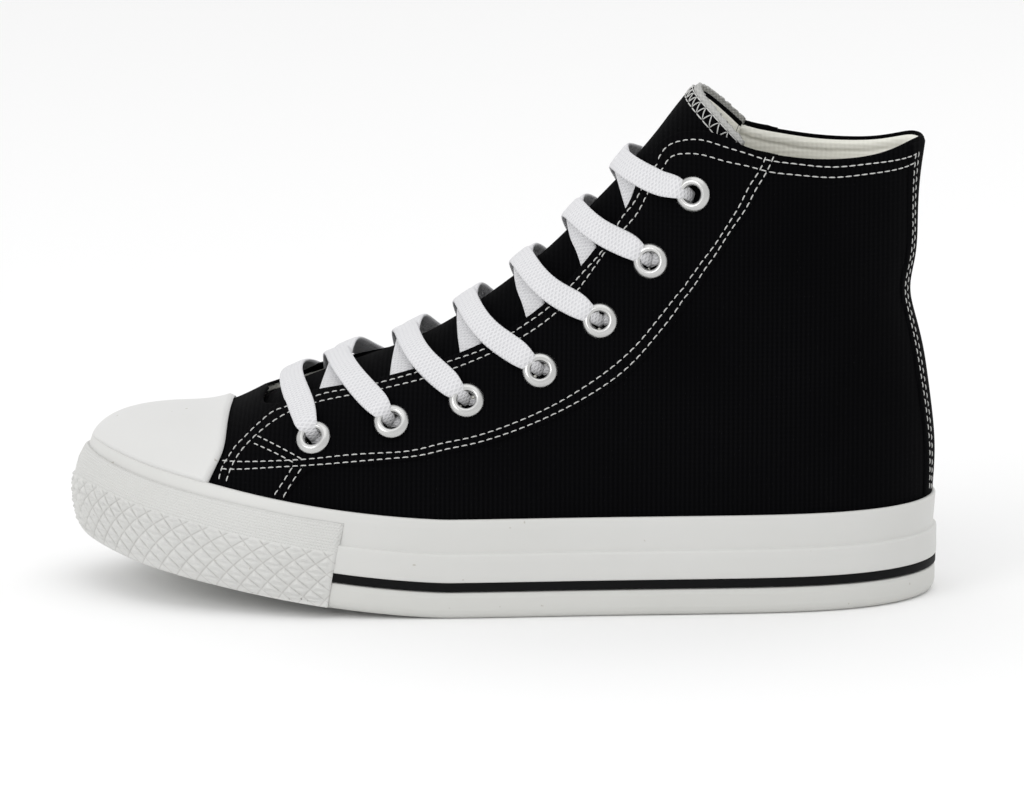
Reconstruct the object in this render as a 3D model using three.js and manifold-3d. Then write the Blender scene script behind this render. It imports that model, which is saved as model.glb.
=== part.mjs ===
// A left high top canvas sneaker, standing empty on its sole.
// Millimetres, +X towards the toe, +Y towards the lateral side, +Z up, the floor at z = 0.
// Canvas, toe cap, tongue and sole edge are all cut from one last, grown or shrunk by a few millimetres.

import * as THREE from 'three';
import { mergeVertices } from 'three/addons/utils/BufferGeometryUtils.js';
import Module from 'manifold-3d';

const wasm = await Module();
wasm.setup();

// Sizes of the last
const LAST_LENGTH = 267;
const BALL_WIDTH = 94;
const TOE_HEIGHT = 55;
const INSTEP_HEIGHT = 98;
const SHAFT_HEIGHT = 163;
const HEEL_HEIGHT = 147;
const HEEL_HOLLOW = 6.8;
const TOE_SPRING = 15.5;
const SPRING_LENGTH = 117;
const SPRING_CURVE = 1.4;

// Thicknesses, and the clearance that touching pieces keep
const GAP = 0.3;
const CANVAS = 2.0;
const OVERLAY_STEP = 0.7;
const CAP_RUBBER = 1.6;
const TONGUE_PAD = 2.4;
const INSOLE_FOAM = 5.0;

// Heights of the sole's side, from the tread up, and how far each band stands out from the canvas
const OUTSOLE_EDGE = 8.6;
const STRIPE_HEIGHT = 2.6;
const LOWER_BAND = 9.2;
const UPPER_BAND = 10.7;
const OUTSOLE_OUT = 2.6;
const OUTSOLE_ROUND = 2.4;
const HEEL_TUCK = 1.4;
const LOWER_BAND_OUT = 3.0;
const UPPER_BAND_OUT = 1.8;
const STRIPE_OUT = 2.8;
const STRIPE_DEPTH = 1.2;

// Toe bumper
const BUMPER_START = 186;
const BUMPER_SLANT = 4;
const BUMPER_TOP = 28.5;
const BUMPER_RUBBER = 1.2;
const BUMPER_BULGE = 2.0;
const BUMPER_LOW_BULGE = 0.2;
const BUMPER_SIDE_BULGE = 0.7;

// Tread
const TREAD_DEPTH = 1.3;
const GROOVE_WIDTH = 2.6;
const GROOVE_PITCH = 9.5;
const TREAD_RIM = 9;
const TREAD_STRETCHES = [
  { from: 0.07, to: 0.32 },
  { from: 0.52, to: 0.86 },
];

// The outsole's lower edge: in and up are shares of its rounding
const OUTSOLE_ROUNDING = [
  { in: 1.0, up: 0.0 },
  { in: 0.3, up: 0.4 },
  { in: 0.0, up: 1.4 },
];

// Eyelets and lace
const EYELET_RADIUS = 5.7;
const EYELET_HOLE = 2.8;
const EYELET_BARREL = 0.4;
const EYELET_RIM = 1.5;
const LACE_WIDTH = 8.0;
const LACE_THICK = 1.5;
const HEEL_STAY_REACH = 1.6;

// Plan outline of the last: along is a share of its length, lateral and medial are shares of the ball width
const OUTLINE = [
  { along: 0.0, lateral: -0.043, medial: -0.043 },
  { along: 0.04, lateral: 0.205, medial: -0.255 },
  { along: 0.12, lateral: 0.332, medial: -0.35 },
  { along: 0.24, lateral: 0.392, medial: -0.358 },
  { along: 0.4, lateral: 0.438, medial: -0.338 },
  { along: 0.52, lateral: 0.478, medial: -0.386 },
  { along: 0.62, lateral: 0.5, medial: -0.452 },
  { along: 0.73, lateral: 0.483, medial: -0.5 },
  { along: 0.83, lateral: 0.405, medial: -0.482 },
  { along: 0.915, lateral: 0.286, medial: -0.412 },
  { along: 0.97, lateral: 0.118, medial: -0.292 },
  { along: 1.0, lateral: -0.095, medial: -0.095 },
];

// The ridge's place across the last, a share of the ball width at shares of the length
const RIDGE_LINE = [
  { along: 0.0, across: -0.043 },
  { along: 0.15, across: -0.021 },
  { along: 0.35, across: 0.0 },
  { along: 0.6, across: 0.0 },
  { along: 0.8, across: -0.043 },
  { along: 1.0, across: -0.095 },
];

// Sections of the last, fanned from the toe to above the collar. Each one runs from the ridge to the sole,
// or from the ridge to the back seam. ridge and sole are shares of the length, up of the size named beside
// it, seam of the heel height. full is the share of the section where it reaches its full width, round the
// power of that curve, and waist the width that is left above the sole.
const SECTIONS = [
  { ridge: 1.0, up: 0.709, of: TOE_HEIGHT, sole: 1.0, seam: 0, full: 0.45, round: 2.5, waist: 1.0 },
  { ridge: 0.9948, up: 0.827, of: TOE_HEIGHT, sole: 0.9948, seam: 0, full: 0.45, round: 2.5, waist: 1.0 },
  { ridge: 0.9798, up: 0.913, of: TOE_HEIGHT, sole: 0.9798, seam: 0, full: 0.45, round: 2.5, waist: 1.0 },
  { ridge: 0.9494, up: 0.9745, of: TOE_HEIGHT, sole: 0.9494, seam: 0, full: 0.46, round: 2.45, waist: 1.0 },
  { ridge: 0.8989, up: 1.0055, of: TOE_HEIGHT, sole: 0.8989, seam: 0, full: 0.48, round: 2.4, waist: 1.0 },
  { ridge: 0.839, up: 1.04, of: TOE_HEIGHT, sole: 0.8315, seam: 0, full: 0.5, round: 2.4, waist: 1.0 },
  { ridge: 0.7715, up: 0.6755, of: INSTEP_HEIGHT, sole: 0.7416, seam: 0, full: 0.54, round: 2.3, waist: 1.0 },
  { ridge: 0.689, up: 0.77, of: INSTEP_HEIGHT, sole: 0.629, seam: 0, full: 0.58, round: 2.2, waist: 1.0 },
  { ridge: 0.603, up: 0.867, of: INSTEP_HEIGHT, sole: 0.487, seam: 0, full: 0.62, round: 2.05, waist: 1.0 },
  { ridge: 0.528, up: 1.0, of: INSTEP_HEIGHT, sole: 0.3296, seam: 0, full: 0.66, round: 1.95, waist: 0.97 },
  { ridge: 0.4625, up: 0.687, of: SHAFT_HEIGHT, sole: 0.18, seam: 0, full: 0.66, round: 1.9, waist: 0.93 },
  { ridge: 0.414, up: 0.767, of: SHAFT_HEIGHT, sole: 0.067, seam: 0, full: 0.62, round: 1.95, waist: 0.9 },
  { ridge: 0.378, up: 0.829, of: SHAFT_HEIGHT, sole: 0, seam: 0, full: 0.56, round: 2.0, waist: 0.88 },
  { ridge: 0.3614, up: 0.862, of: SHAFT_HEIGHT, sole: 0, seam: 0.19, full: 0.53, round: 2.05, waist: 0.87 },
  { ridge: 0.3427, up: 0.899, of: SHAFT_HEIGHT, sole: 0, seam: 0.422, full: 0.51, round: 2.1, waist: 0.85 },
  { ridge: 0.3165, up: 0.951, of: SHAFT_HEIGHT, sole: 0, seam: 0.653, full: 0.5, round: 2.2, waist: 0.8 },
  { ridge: 0.29, up: 1.0, of: SHAFT_HEIGHT, sole: 0, seam: 0.864, full: 0.5, round: 2.2, waist: 0.74 },
  { ridge: 0.258, up: 1.061, of: SHAFT_HEIGHT, sole: 0, seam: 1.075, full: 0.5, round: 2.2, waist: 0.72 },
];

// Back seam: up is a share of the heel height, inward a share of the heel hollow
const BACK_SEAM = [
  { up: 0.136, inward: 0.0 },
  { up: 0.231, inward: -0.15 },
  { up: 0.306, inward: -0.22 },
  { up: 0.395, inward: -0.07 },
  { up: 0.463, inward: 0.13 },
  { up: 0.531, inward: 0.37 },
  { up: 0.599, inward: 0.735 },
  { up: 0.66, inward: 1.0 },
  { up: 0.728, inward: 0.79 },
  { up: 0.823, inward: 0.68 },
  { up: 0.918, inward: 0.56 },
  { up: 0.993, inward: 0.35 },
  { up: 1.1, inward: 0.22 },
];

// Lines drawn on the last: section is a place in the table above, drop the share from ridge to sole or seam
const FACING_EDGE = [
  { section: 5.78, drop: 0.0 },
  { section: 5.84, drop: 0.03 },
  { section: 6.1, drop: 0.048 },
  { section: 7.0, drop: 0.066 },
  { section: 8.0, drop: 0.09 },
  { section: 8.7, drop: 0.106 },
  { section: 9.3, drop: 0.11 },
  { section: 10.4, drop: 0.088 },
  { section: 11.6, drop: 0.065 },
  { section: 12.6, drop: 0.052 },
  { section: 14.12, drop: 0.043 },
];
const COLLAR_EDGE = [
  { section: 14.61, drop: 0.053 },
  { section: 15.0, drop: 0.082 },
  { section: 15.36, drop: 0.134 },
  { section: 15.55, drop: 0.209 },
  { section: 15.6, drop: 0.275 },
  { section: 15.75, drop: 0.382 },
  { section: 16.02, drop: 0.569 },
  { section: 16.19, drop: 0.693 },
  { section: 16.37, drop: 0.821 },
  { section: 16.51, drop: 0.907 },
  { section: 16.63, drop: 1.0 },
];
const EYESTAY_EDGE = [
  { section: 5.24, drop: 0.23 },
  { section: 6.22, drop: 0.295 },
  { section: 7.41, drop: 0.337 },
  { section: 8.61, drop: 0.372 },
  { section: 9.53, drop: 0.346 },
  { section: 10.66, drop: 0.295 },
  { section: 11.32, drop: 0.275 },
  { section: 12.48, drop: 0.276 },
  { section: 13.63, drop: 0.313 },
  { section: 14.76, drop: 0.373 },
  { section: 15.49, drop: 0.41 },
  { section: 16.2, drop: 0.44 },
];
const CAP_EDGE = [
  { section: 5.15, drop: 0.0 },
  { section: 5.13, drop: 0.055 },
  { section: 5.08, drop: 0.12 },
  { section: 4.96, drop: 0.18 },
  { section: 4.81, drop: 0.26 },
  { section: 4.6, drop: 0.42 },
];
const TONGUE_EDGE = [
  { section: 5.5, drop: 0.0 },
  { section: 5.6, drop: 0.1 },
  { section: 6.5, drop: 0.2 },
  { section: 8.0, drop: 0.26 },
  { section: 10.0, drop: 0.27 },
  { section: 12.0, drop: 0.25 },
  { section: 14.0, drop: 0.26 },
  { section: 15.64, drop: 0.254 },
];
const TONGUE_TOP = [
  { section: 15.79, drop: 0.21 },
  { section: 15.98, drop: 0.135 },
  { section: 16.12, drop: 0.05 },
  { section: 16.15, drop: 0.0 },
];
const EYELETS = [
  { section: 6.5, drop: 0.2 },
  { section: 7.46, drop: 0.215 },
  { section: 8.35, drop: 0.227 },
  { section: 9.27, drop: 0.234 },
  { section: 10.28, drop: 0.199 },
  { section: 11.66, drop: 0.16 },
  { section: 14.04, drop: 0.184 },
];

// How finely the last is drawn
const SECTION_STEPS = [
  0, 0.5, 1, 1.7, 2.4, 3.2, 4, 5, 5.8, 6.7, 7.6, 8.4, 9.2, 10, 10.8, 11.5, 12, 12.8, 13.6, 14.4, 15.2, 16, 17,
];
const DROP_STEPS = [0, 0.04, 0.1, 0.18, 0.28, 0.4, 0.54, 0.7, 0.86, 0.95, 0.99, 1];
const RING_STEPS = 26;
const OUTLINE_SAMPLES = 240;
const SLOPE_STEP = 0.001;
const SPRING_STEPS = 5;
const HEEL_STAY_STEPS = 8;
const EYELET_FACETS = 8;
const HOLE_REACH = 12;
const LACE_STEPS = 8;
const SEAT_SECTION_STEP = 0.05;
const SEAT_DROP_STEP = 0.02;
const MERGE_DISTANCE = 1e-4;

// The form runs on below the floor, so that the sole's own surfaces cut it
const BELOW_FLOOR = 8;
const SEAM_SECTION = 12;
const SOLE_SECTION = 11;
const WAIST_START = 35;
const WAIST_FULL = 70;
const HEEL_SPAN = 120;
const BEYOND = 30;

const LATERAL = 1;
const MEDIAL = -1;

const MATERIALS = {
  canvas: { color: 0x0d0d10, roughness: 0.9, metalness: 0 },
  rubber: { color: 0xe8e8e6, roughness: 0.45, metalness: 0 },
  blackRubber: { color: 0x161616, roughness: 0.5, metalness: 0 },
  outsole: { color: 0xdcdcd9, roughness: 0.6, metalness: 0 },
  insole: { color: 0xe2e0d6, roughness: 0.9, metalness: 0 },
  eyelet: { color: 0xd4d6d8, roughness: 0.25, metalness: 1 },
  lace: { color: 0xe8e8ea, roughness: 0.9, metalness: 0 },
};

// Natural cubic spline through the values at the knots, as a function
function spline(knots, values) {
  const last = knots.length - 1;
  const gaps = knots.slice(1).map((knot, i) => knot - knots[i]);
  const bends = new Array(last + 1).fill(0);
  const ratios = new Array(last + 1).fill(0);
  for (let i = 1; i < last; i += 1) {
    const pull = (values[i + 1] - values[i]) / gaps[i] - (values[i] - values[i - 1]) / gaps[i - 1];
    const pivot = 2 * (gaps[i - 1] + gaps[i]) - gaps[i - 1] * ratios[i - 1];
    ratios[i] = gaps[i] / pivot;
    bends[i] = (6 * pull - gaps[i - 1] * bends[i - 1]) / pivot;
  }
  for (let i = last - 1; i > 0; i -= 1) {
    bends[i] -= ratios[i] * bends[i + 1];
  }
  return (place) => {
    const t = Math.min(Math.max(place, knots[0]), knots[last]);
    let i = 0;
    while (i < last - 1 && t > knots[i + 1]) {
      i += 1;
    }
    const gap = gaps[i];
    const before = t - knots[i];
    const after = knots[i + 1] - t;
    return (bends[i] * after ** 3 + bends[i + 1] * before ** 3) / (6 * gap)
      + (values[i] / gap - bends[i] * gap / 6) * after
      + (values[i + 1] / gap - bends[i + 1] * gap / 6) * before;
  };
}

function smoothstep(from, to, value) {
  const t = Math.min(Math.max((value - from) / (to - from), 0), 1);
  return t * t * (3 - 2 * t);
}

// Plan outline as a curve over an angle, from 0 at the heel to half a turn at the toe
const outlineAngles = OUTLINE.map((row) => Math.acos(1 - 2 * row.along));
const outlineAcross = {
  [LATERAL]: spline(outlineAngles, OUTLINE.map((row) => row.lateral * BALL_WIDTH)),
  [MEDIAL]: spline(outlineAngles, OUTLINE.map((row) => row.medial * BALL_WIDTH)),
};
const ridgeAcross = spline(
  RIDGE_LINE.map((row) => row.along),
  RIDGE_LINE.map((row) => row.across * BALL_WIDTH),
);

// One point of the outline on a side at an angle, moved outwards by grow
function outlinePoint(angle, side, grow) {
  const across = outlineAcross[side];
  const slopeX = LAST_LENGTH * Math.sin(angle) / 2;
  const slopeY = (across(angle + SLOPE_STEP) - across(angle - SLOPE_STEP)) / (2 * SLOPE_STEP);
  const atEnd = Math.sin(angle) < SLOPE_STEP;
  const length = Math.hypot(slopeX, slopeY);
  const normalX = atEnd ? -Math.sign(Math.cos(angle)) : -slopeY * side / length;
  const normalY = atEnd ? 0 : slopeX * side / length;
  return {
    x: LAST_LENGTH * (1 - Math.cos(angle)) / 2 + grow * normalX,
    y: across(angle) + grow * normalY,
  };
}

const outlineTables = new Map();

// How far the grown outline lies across, at a place along the last
function outlineAt(x, side, grow) {
  const key = `${side} ${grow}`;
  if (!outlineTables.has(key)) {
    const angles = Array.from({ length: OUTLINE_SAMPLES + 1 }, (unused, i) => Math.PI * i / OUTLINE_SAMPLES);
    outlineTables.set(key, angles.map((angle) => outlinePoint(angle, side, grow)));
  }
  const table = outlineTables.get(key);
  let low = 0;
  let high = table.length - 1;
  if (x <= table[low].x) {
    return table[low].y;
  }
  if (x >= table[high].x) {
    return table[high].y;
  }
  while (high - low > 1) {
    const middle = (low + high) >> 1;
    if (table[middle].x <= x) {
      low = middle;
    } else {
      high = middle;
    }
  }
  const share = (x - table[low].x) / (table[high].x - table[low].x);
  return table[low].y + (table[high].y - table[low].y) * share;
}

const sectionPlaces = SECTIONS.map((row, i) => i);
const sectionCurves = {
  ridgeX: spline(sectionPlaces, SECTIONS.map((row) => row.ridge * LAST_LENGTH)),
  ridgeZ: spline(sectionPlaces, SECTIONS.map((row) => row.up * row.of)),
  soleX: spline(sectionPlaces, SECTIONS.map((row) => row.sole * LAST_LENGTH)),
  seamZ: spline(sectionPlaces, SECTIONS.map((row) => row.seam * HEEL_HEIGHT)),
  shoulder: spline(sectionPlaces, SECTIONS.map((row) => row.full)),
  roundness: spline(sectionPlaces, SECTIONS.map((row) => row.round)),
  waist: spline(sectionPlaces, SECTIONS.map((row) => row.waist)),
};
const seamCurve = spline(
  BACK_SEAM.map((row) => row.up * HEEL_HEIGHT),
  BACK_SEAM.map((row) => row.inward * HEEL_HOLLOW),
);

// Where the last meets the sole or the back seam, on one section
function sectionEnd(section, grow, ridgeNormalX) {
  if (section <= SEAM_SECTION) {
    const heelShare = Math.max(section - SOLE_SECTION, 0);
    const pushX = ridgeNormalX + heelShare * (-1 - ridgeNormalX);
    return { x: Math.max(sectionCurves.soleX(section), 0) + grow * pushX, z: -BELOW_FLOOR };
  }
  const rise = Math.min(section - SEAM_SECTION, 1);
  const z = sectionCurves.seamZ(section) - BELOW_FLOOR * (1 - rise);
  return { x: seamCurve(z) - grow, z };
}

// A point on the last grown by grow: its half width follows the plan outline, closed over the top by a
// curve of the form (1 - (1 - drop / shoulder) ^ roundness) ^ (1 / roundness)
function lastPoint(section, drop, side, grow) {
  const slopeX = sectionCurves.ridgeX(section + SLOPE_STEP) - sectionCurves.ridgeX(section - SLOPE_STEP);
  const slopeZ = sectionCurves.ridgeZ(section + SLOPE_STEP) - sectionCurves.ridgeZ(section - SLOPE_STEP);
  const slope = Math.hypot(slopeX, slopeZ);
  const normalX = section <= 0 ? 1 : slopeZ / slope;
  const normalZ = section <= 0 ? 0 : -slopeX / slope;
  const ridgeX = sectionCurves.ridgeX(section) + grow * normalX;
  const ridgeZ = sectionCurves.ridgeZ(section) + grow * normalZ;
  const end = sectionEnd(section, grow, normalX);
  const x = ridgeX + (end.x - ridgeX) * drop;
  const z = ridgeZ + (end.z - ridgeZ) * drop;
  const rest = Math.max(1 - drop / sectionCurves.shoulder(section), 0);
  const power = sectionCurves.roundness(section);
  const arch = (1 - rest ** power) ** (1 / power);
  const waist = 1 + (sectionCurves.waist(section) - 1) * smoothstep(WAIST_START, WAIST_FULL, z);
  const seamX = z < BACK_SEAM[0].up * HEEL_HEIGHT ? 0 : seamCurve(z);
  const stretched = HEEL_SPAN - (HEEL_SPAN - x) * (HEEL_SPAN + grow) / (HEEL_SPAN + grow - seamX);
  const middle = ridgeAcross(x / LAST_LENGTH);
  const onSeam = section <= 0 || (section >= SEAM_SECTION && drop >= 1);
  const full = onSeam ? middle : outlineAt(x < HEEL_SPAN ? stretched : x, side, grow);
  return new THREE.Vector3(x, middle + (full - middle) * arch * waist, z);
}

// Height of the tread above the floor: flat at heel and ball, then curving up to the toe
function treadHeight(x) {
  const share = Math.max((x - (LAST_LENGTH - SPRING_LENGTH)) / SPRING_LENGTH, 0);
  return TOE_SPRING * share ** SPRING_CURVE;
}

// Turns points and triangles into a solid with its faces outwards
function closedSolid(points, triangles) {
  const geometry = new THREE.BufferGeometry();
  const numbers = points.flatMap((point) => point.toArray());
  geometry.setAttribute('position', new THREE.Float32BufferAttribute(numbers, 3));
  geometry.setIndex(triangles.flat());
  return toSolid(geometry);
}

function toSolid(geometry) {
  geometry.deleteAttribute('normal');
  geometry.deleteAttribute('uv');
  const merged = mergeVertices(geometry, MERGE_DISTANCE);
  const position = merged.getAttribute('position');
  const index = merged.getIndex().array;
  const kept = [];
  let volume = 0;
  const corners = [new THREE.Vector3(), new THREE.Vector3(), new THREE.Vector3()];
  for (let i = 0; i < index.length; i += 3) {
    const [a, b, c] = [index[i], index[i + 1], index[i + 2]];
    if (a !== b && b !== c && a !== c) {
      kept.push([a, b, c]);
      [a, b, c].forEach((vertex, k) => corners[k].fromBufferAttribute(position, vertex));
      volume += corners[0].dot(corners[1].clone().cross(corners[2]));
    }
  }
  const turned = volume < 0 ? kept.map(([a, b, c]) => [a, c, b]) : kept;
  return new wasm.Manifold(new wasm.Mesh({
    numProp: 3,
    vertProperties: Float32Array.from(position.array),
    triVerts: Uint32Array.from(turned.flat()),
  }));
}

function toMesh(name, solid, material) {
  const mesh = solid.getMesh();
  const geometry = new THREE.BufferGeometry();
  geometry.setAttribute('position', new THREE.Float32BufferAttribute(mesh.vertProperties, 3));
  geometry.setIndex(new THREE.Uint32BufferAttribute(mesh.triVerts, 1));
  geometry.computeVertexNormals();
  const part = new THREE.Mesh(geometry, new THREE.MeshStandardMaterial(MATERIALS[material]));
  part.name = name;
  return part;
}

// Two triangles for each cell between rows of points that hold as many points each
function stitchRows(rowCount, rowLength) {
  const triangles = [];
  for (let row = 0; row < rowCount - 1; row += 1) {
    for (let i = 0; i < rowLength - 1; i += 1) {
      const a = row * rowLength + i;
      const b = a + rowLength;
      triangles.push([a, a + 1, b + 1], [a, b + 1, b]);
    }
  }
  return triangles;
}

const forms = new Map();

// The whole last, grown by grow, as one closed solid
function lastSolid(grow) {
  if (forms.has(grow)) {
    return forms.get(grow);
  }
  const across = [
    ...DROP_STEPS.slice().reverse().map((drop) => ({ drop, side: LATERAL })),
    ...DROP_STEPS.slice(1).map((drop) => ({ drop, side: MEDIAL })),
  ];
  const points = SECTION_STEPS.flatMap((section) => (
    across.map(({ drop, side }) => lastPoint(section, drop, side, grow))
  ));
  const rowLength = across.length;
  const triangles = stitchRows(SECTION_STEPS.length, rowLength);
  for (let row = 0; row < SECTION_STEPS.length - 1; row += 1) {
    const a = row * rowLength;
    const b = a + rowLength;
    triangles.push([a + rowLength - 1, a, b], [a + rowLength - 1, b, b + rowLength - 1]);
  }
  const top = (SECTION_STEPS.length - 1) * rowLength;
  const middle = new THREE.Vector3();
  for (let i = 0; i < rowLength - 1; i += 1) {
    middle.add(points[top + i]);
  }
  points.push(middle.divideScalar(rowLength - 1));
  for (let i = 0; i < rowLength - 1; i += 1) {
    triangles.push([top + i, top + i + 1, points.length - 1]);
  }
  const solid = closedSolid(points, triangles);
  forms.set(grow, solid);
  return solid;
}

// The outer skin of a joined solid, without the small pockets that stay between pieces laid over each other
function outerSkin(solid) {
  return solid.decompose().reduce((largest, piece) => (piece.volume() > largest.volume() ? piece : largest));
}

// A shell between two sizes of the last
function shell(inner, outer) {
  return lastSolid(outer).subtract(lastSolid(inner));
}

// A prism across the shoe over an area of the side view
function sidePrism(corners) {
  const shape = new THREE.Shape(corners.map(([x, z]) => new THREE.Vector2(x, z)));
  const depth = 2 * BALL_WIDTH;
  const geometry = new THREE.ExtrudeGeometry(shape, { depth, bevelEnabled: false });
  geometry.rotateX(Math.PI / 2);
  geometry.translate(0, depth / 2, 0);
  return toSolid(geometry);
}

// Side view points of a line drawn on the last
function drawnLine(rows, grow = 0) {
  return rows.map((row) => {
    const point = lastPoint(row.section, row.drop, LATERAL, grow);
    return [point.x, point.z];
  });
}

// Everything between two heights above the tread, over a stretch of the length
function levels(low, high, fromX = -BEYOND, toX = LAST_LENGTH + BEYOND) {
  const start = LAST_LENGTH - SPRING_LENGTH;
  const toePlace = LAST_LENGTH + BEYOND / 2;
  const stops = [fromX, start];
  for (let i = 1; i <= SPRING_STEPS; i += 1) {
    stops.push(start + (toePlace - start) * i / SPRING_STEPS);
  }
  stops.push(LAST_LENGTH + BEYOND);
  const inside = [fromX, ...stops.filter((x) => x > fromX && x < toX), toX];
  const bottom = inside.map((x) => [x, treadHeight(x) + low(x)]);
  const topLine = inside.map((x) => [x, treadHeight(x) + high(x)]).reverse();
  return sidePrism([...bottom, ...topLine]);
}

// Heights of the bands' tops above the tread
const STRIPE_TOP = OUTSOLE_EDGE + GAP + STRIPE_HEIGHT;
const LOWER_TOP = STRIPE_TOP + GAP + LOWER_BAND;
const SIDEWALL_TOP = LOWER_TOP + UPPER_BAND;

// A stack of rings of the plan outline, closed below and above. Each ring's grow and height are functions of
// the place along the last.
function ringStack(rings) {
  const places = [];
  for (let i = 0; i <= RING_STEPS; i += 1) {
    places.push({ angle: Math.PI * i / RING_STEPS, side: LATERAL });
  }
  for (let i = RING_STEPS - 1; i > 0; i -= 1) {
    places.push({ angle: Math.PI * i / RING_STEPS, side: MEDIAL });
  }
  const count = places.length;
  const points = rings.flatMap((ring) => places.map(({ angle, side }) => {
    const along = LAST_LENGTH * (1 - Math.cos(angle)) / 2;
    const { x, y } = outlinePoint(angle, side, ring.grow(along));
    return new THREE.Vector3(x, y, treadHeight(along) + ring.height(along));
  }));
  const triangles = [];
  for (let ring = 0; ring < rings.length - 1; ring += 1) {
    for (let i = 0; i < count; i += 1) {
      const next = (i + 1) % count;
      const a = ring * count;
      const b = a + count;
      triangles.push([a + i, a + next, b + next], [a + i, b + next, b + i]);
    }
  }
  const top = (rings.length - 1) * count;
  for (let i = 0; i < RING_STEPS; i += 1) {
    const across = (count - i) % count;
    const acrossNext = count - i - 1;
    triangles.push([i, acrossNext, i + 1], [i, across, acrossNext]);
    triangles.push([top + i, top + i + 1, top + acrossNext], [top + i, top + acrossNext, top + across]);
  }
  return closedSolid(points, triangles);
}

const same = (value) => () => value;

// How far the outsole stands out from the canvas: less behind the heel
function outsoleEdgeOut(along) {
  return OUTSOLE_OUT - HEEL_TUCK * (1 - smoothstep(0, BALL_WIDTH / 2, along));
}

// Outsole: a rubber slab with a rounded lower edge and cross grooves between its lugs
function buildOutsole() {
  const rounded = OUTSOLE_ROUNDING.map((row) => ({
    grow: (along) => outsoleEdgeOut(along) - OUTSOLE_ROUND * row.in,
    height: same(OUTSOLE_ROUND * row.up),
  }));
  let slab = ringStack([...rounded, { grow: outsoleEdgeOut, height: same(OUTSOLE_EDGE) }]);
  TREAD_STRETCHES.forEach(({ from, to }) => {
    const count = Math.floor((to - from) * LAST_LENGTH / GROOVE_PITCH);
    for (let i = 0; i <= count; i += 1) {
      const x = from * LAST_LENGTH + i * GROOVE_PITCH;
      const lateral = outlineAt(x, LATERAL, 0) - TREAD_RIM;
      const medial = outlineAt(x, MEDIAL, 0) + TREAD_RIM;
      const groove = new THREE.BoxGeometry(GROOVE_WIDTH, lateral - medial, 2 * TREAD_DEPTH);
      groove.rotateY(-Math.atan((treadHeight(x + 1) - treadHeight(x - 1)) / 2));
      groove.translate(x, (lateral + medial) / 2, treadHeight(x));
      slab = slab.subtract(toSolid(groove));
    }
  });
  return slab;
}

// Insole: a foam layer that fills the last between the outsole and the foot
function buildInsole() {
  const bottom = OUTSOLE_EDGE + GAP;
  return lastSolid(-(CANVAS + GAP)).intersect(levels(same(bottom), same(bottom + INSOLE_FOAM)));
}

// Sidewall: two stepped bands of white rubber wrapped round the canvas, with a groove for the stripe
function buildFoxing() {
  const bottom = same(OUTSOLE_EDGE + GAP);
  const upperBand = lastSolid(UPPER_BAND_OUT).intersect(levels(bottom, same(SIDEWALL_TOP)));
  const lowerBand = lastSolid(LOWER_BAND_OUT).intersect(levels(bottom, same(LOWER_TOP)));
  const grooveTop = same(STRIPE_TOP + GAP);
  const groove = lastSolid(LOWER_BAND_OUT + STRIPE_OUT)
    .subtract(lastSolid(STRIPE_OUT - STRIPE_DEPTH - GAP))
    .intersect(levels(same(0), grooveTop, -BEYOND, BUMPER_START));
  return upperBand.add(lowerBand).subtract(lastSolid(GAP)).subtract(groove);
}

function buildPinstripe() {
  const zone = levels(same(OUTSOLE_EDGE + GAP), same(STRIPE_TOP), -BEYOND, BUMPER_START - GAP);
  return shell(STRIPE_OUT - STRIPE_DEPTH, STRIPE_OUT).intersect(zone);
}

// Toe bumper: a thick moulded band round the toe, over the sole's edge and both bands of the sidewall
function buildToeBumper() {
  const start = BUMPER_START;
  const out = LOWER_BAND_OUT + BUMPER_RUBBER + GAP;
  const bulge = (along) => BUMPER_BULGE * smoothstep(start, LAST_LENGTH - BUMPER_TOP, along);
  const body = ringStack([
    { grow: (along) => out - OUTSOLE_ROUND + bulge(along) * BUMPER_LOW_BULGE, height: same(GAP) },
    { grow: (along) => out + bulge(along) * BUMPER_SIDE_BULGE, height: same(OUTSOLE_EDGE / 2) },
    { grow: (along) => out + bulge(along), height: same(OUTSOLE_EDGE + STRIPE_HEIGHT) },
    { grow: (along) => out + bulge(along) * BUMPER_SIDE_BULGE, height: same(LOWER_TOP) },
    { grow: (along) => out - BUMPER_RUBBER, height: same(BUMPER_TOP) },
  ]);
  const zone = sidePrism([
    [start + BUMPER_SLANT, -BEYOND],
    [start, BUMPER_TOP + TOE_SPRING],
    [LAST_LENGTH + BEYOND, BUMPER_TOP + 2 * TOE_SPRING],
    [LAST_LENGTH + BEYOND, -BEYOND],
  ]);
  const edge = (along) => outsoleEdgeOut(along) + GAP;
  const core = ringStack([
    { grow: edge, height: same(-BEYOND) },
    { grow: edge, height: same(OUTSOLE_EDGE + GAP) },
  ]);
  const bandLevels = levels(same(OUTSOLE_EDGE - GAP), same(LOWER_TOP + GAP));
  const bands = lastSolid(LOWER_BAND_OUT + GAP).intersect(bandLevels);
  return body.intersect(zone).subtract(core).subtract(bands).subtract(lastSolid(UPPER_BAND_OUT + GAP));
}

// Toe cap: a rubber shell over the canvas, from its curved rear edge down to the sidewall
function buildToeCap() {
  const edge = drawnLine(CAP_EDGE, GAP);
  const [lowX, lowZ] = edge[edge.length - 1];
  const zone = sidePrism([
    [edge[0][0], edge[0][1] + BEYOND],
    ...edge,
    [lowX, lowZ - BEYOND],
    [LAST_LENGTH + BEYOND, lowZ - BEYOND],
    [LAST_LENGTH + BEYOND, edge[0][1] + BEYOND],
  ]);
  const above = levels(same(SIDEWALL_TOP + GAP), same(SHAFT_HEIGHT));
  return shell(GAP, GAP + CAP_RUBBER).intersect(zone).intersect(above);
}

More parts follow.
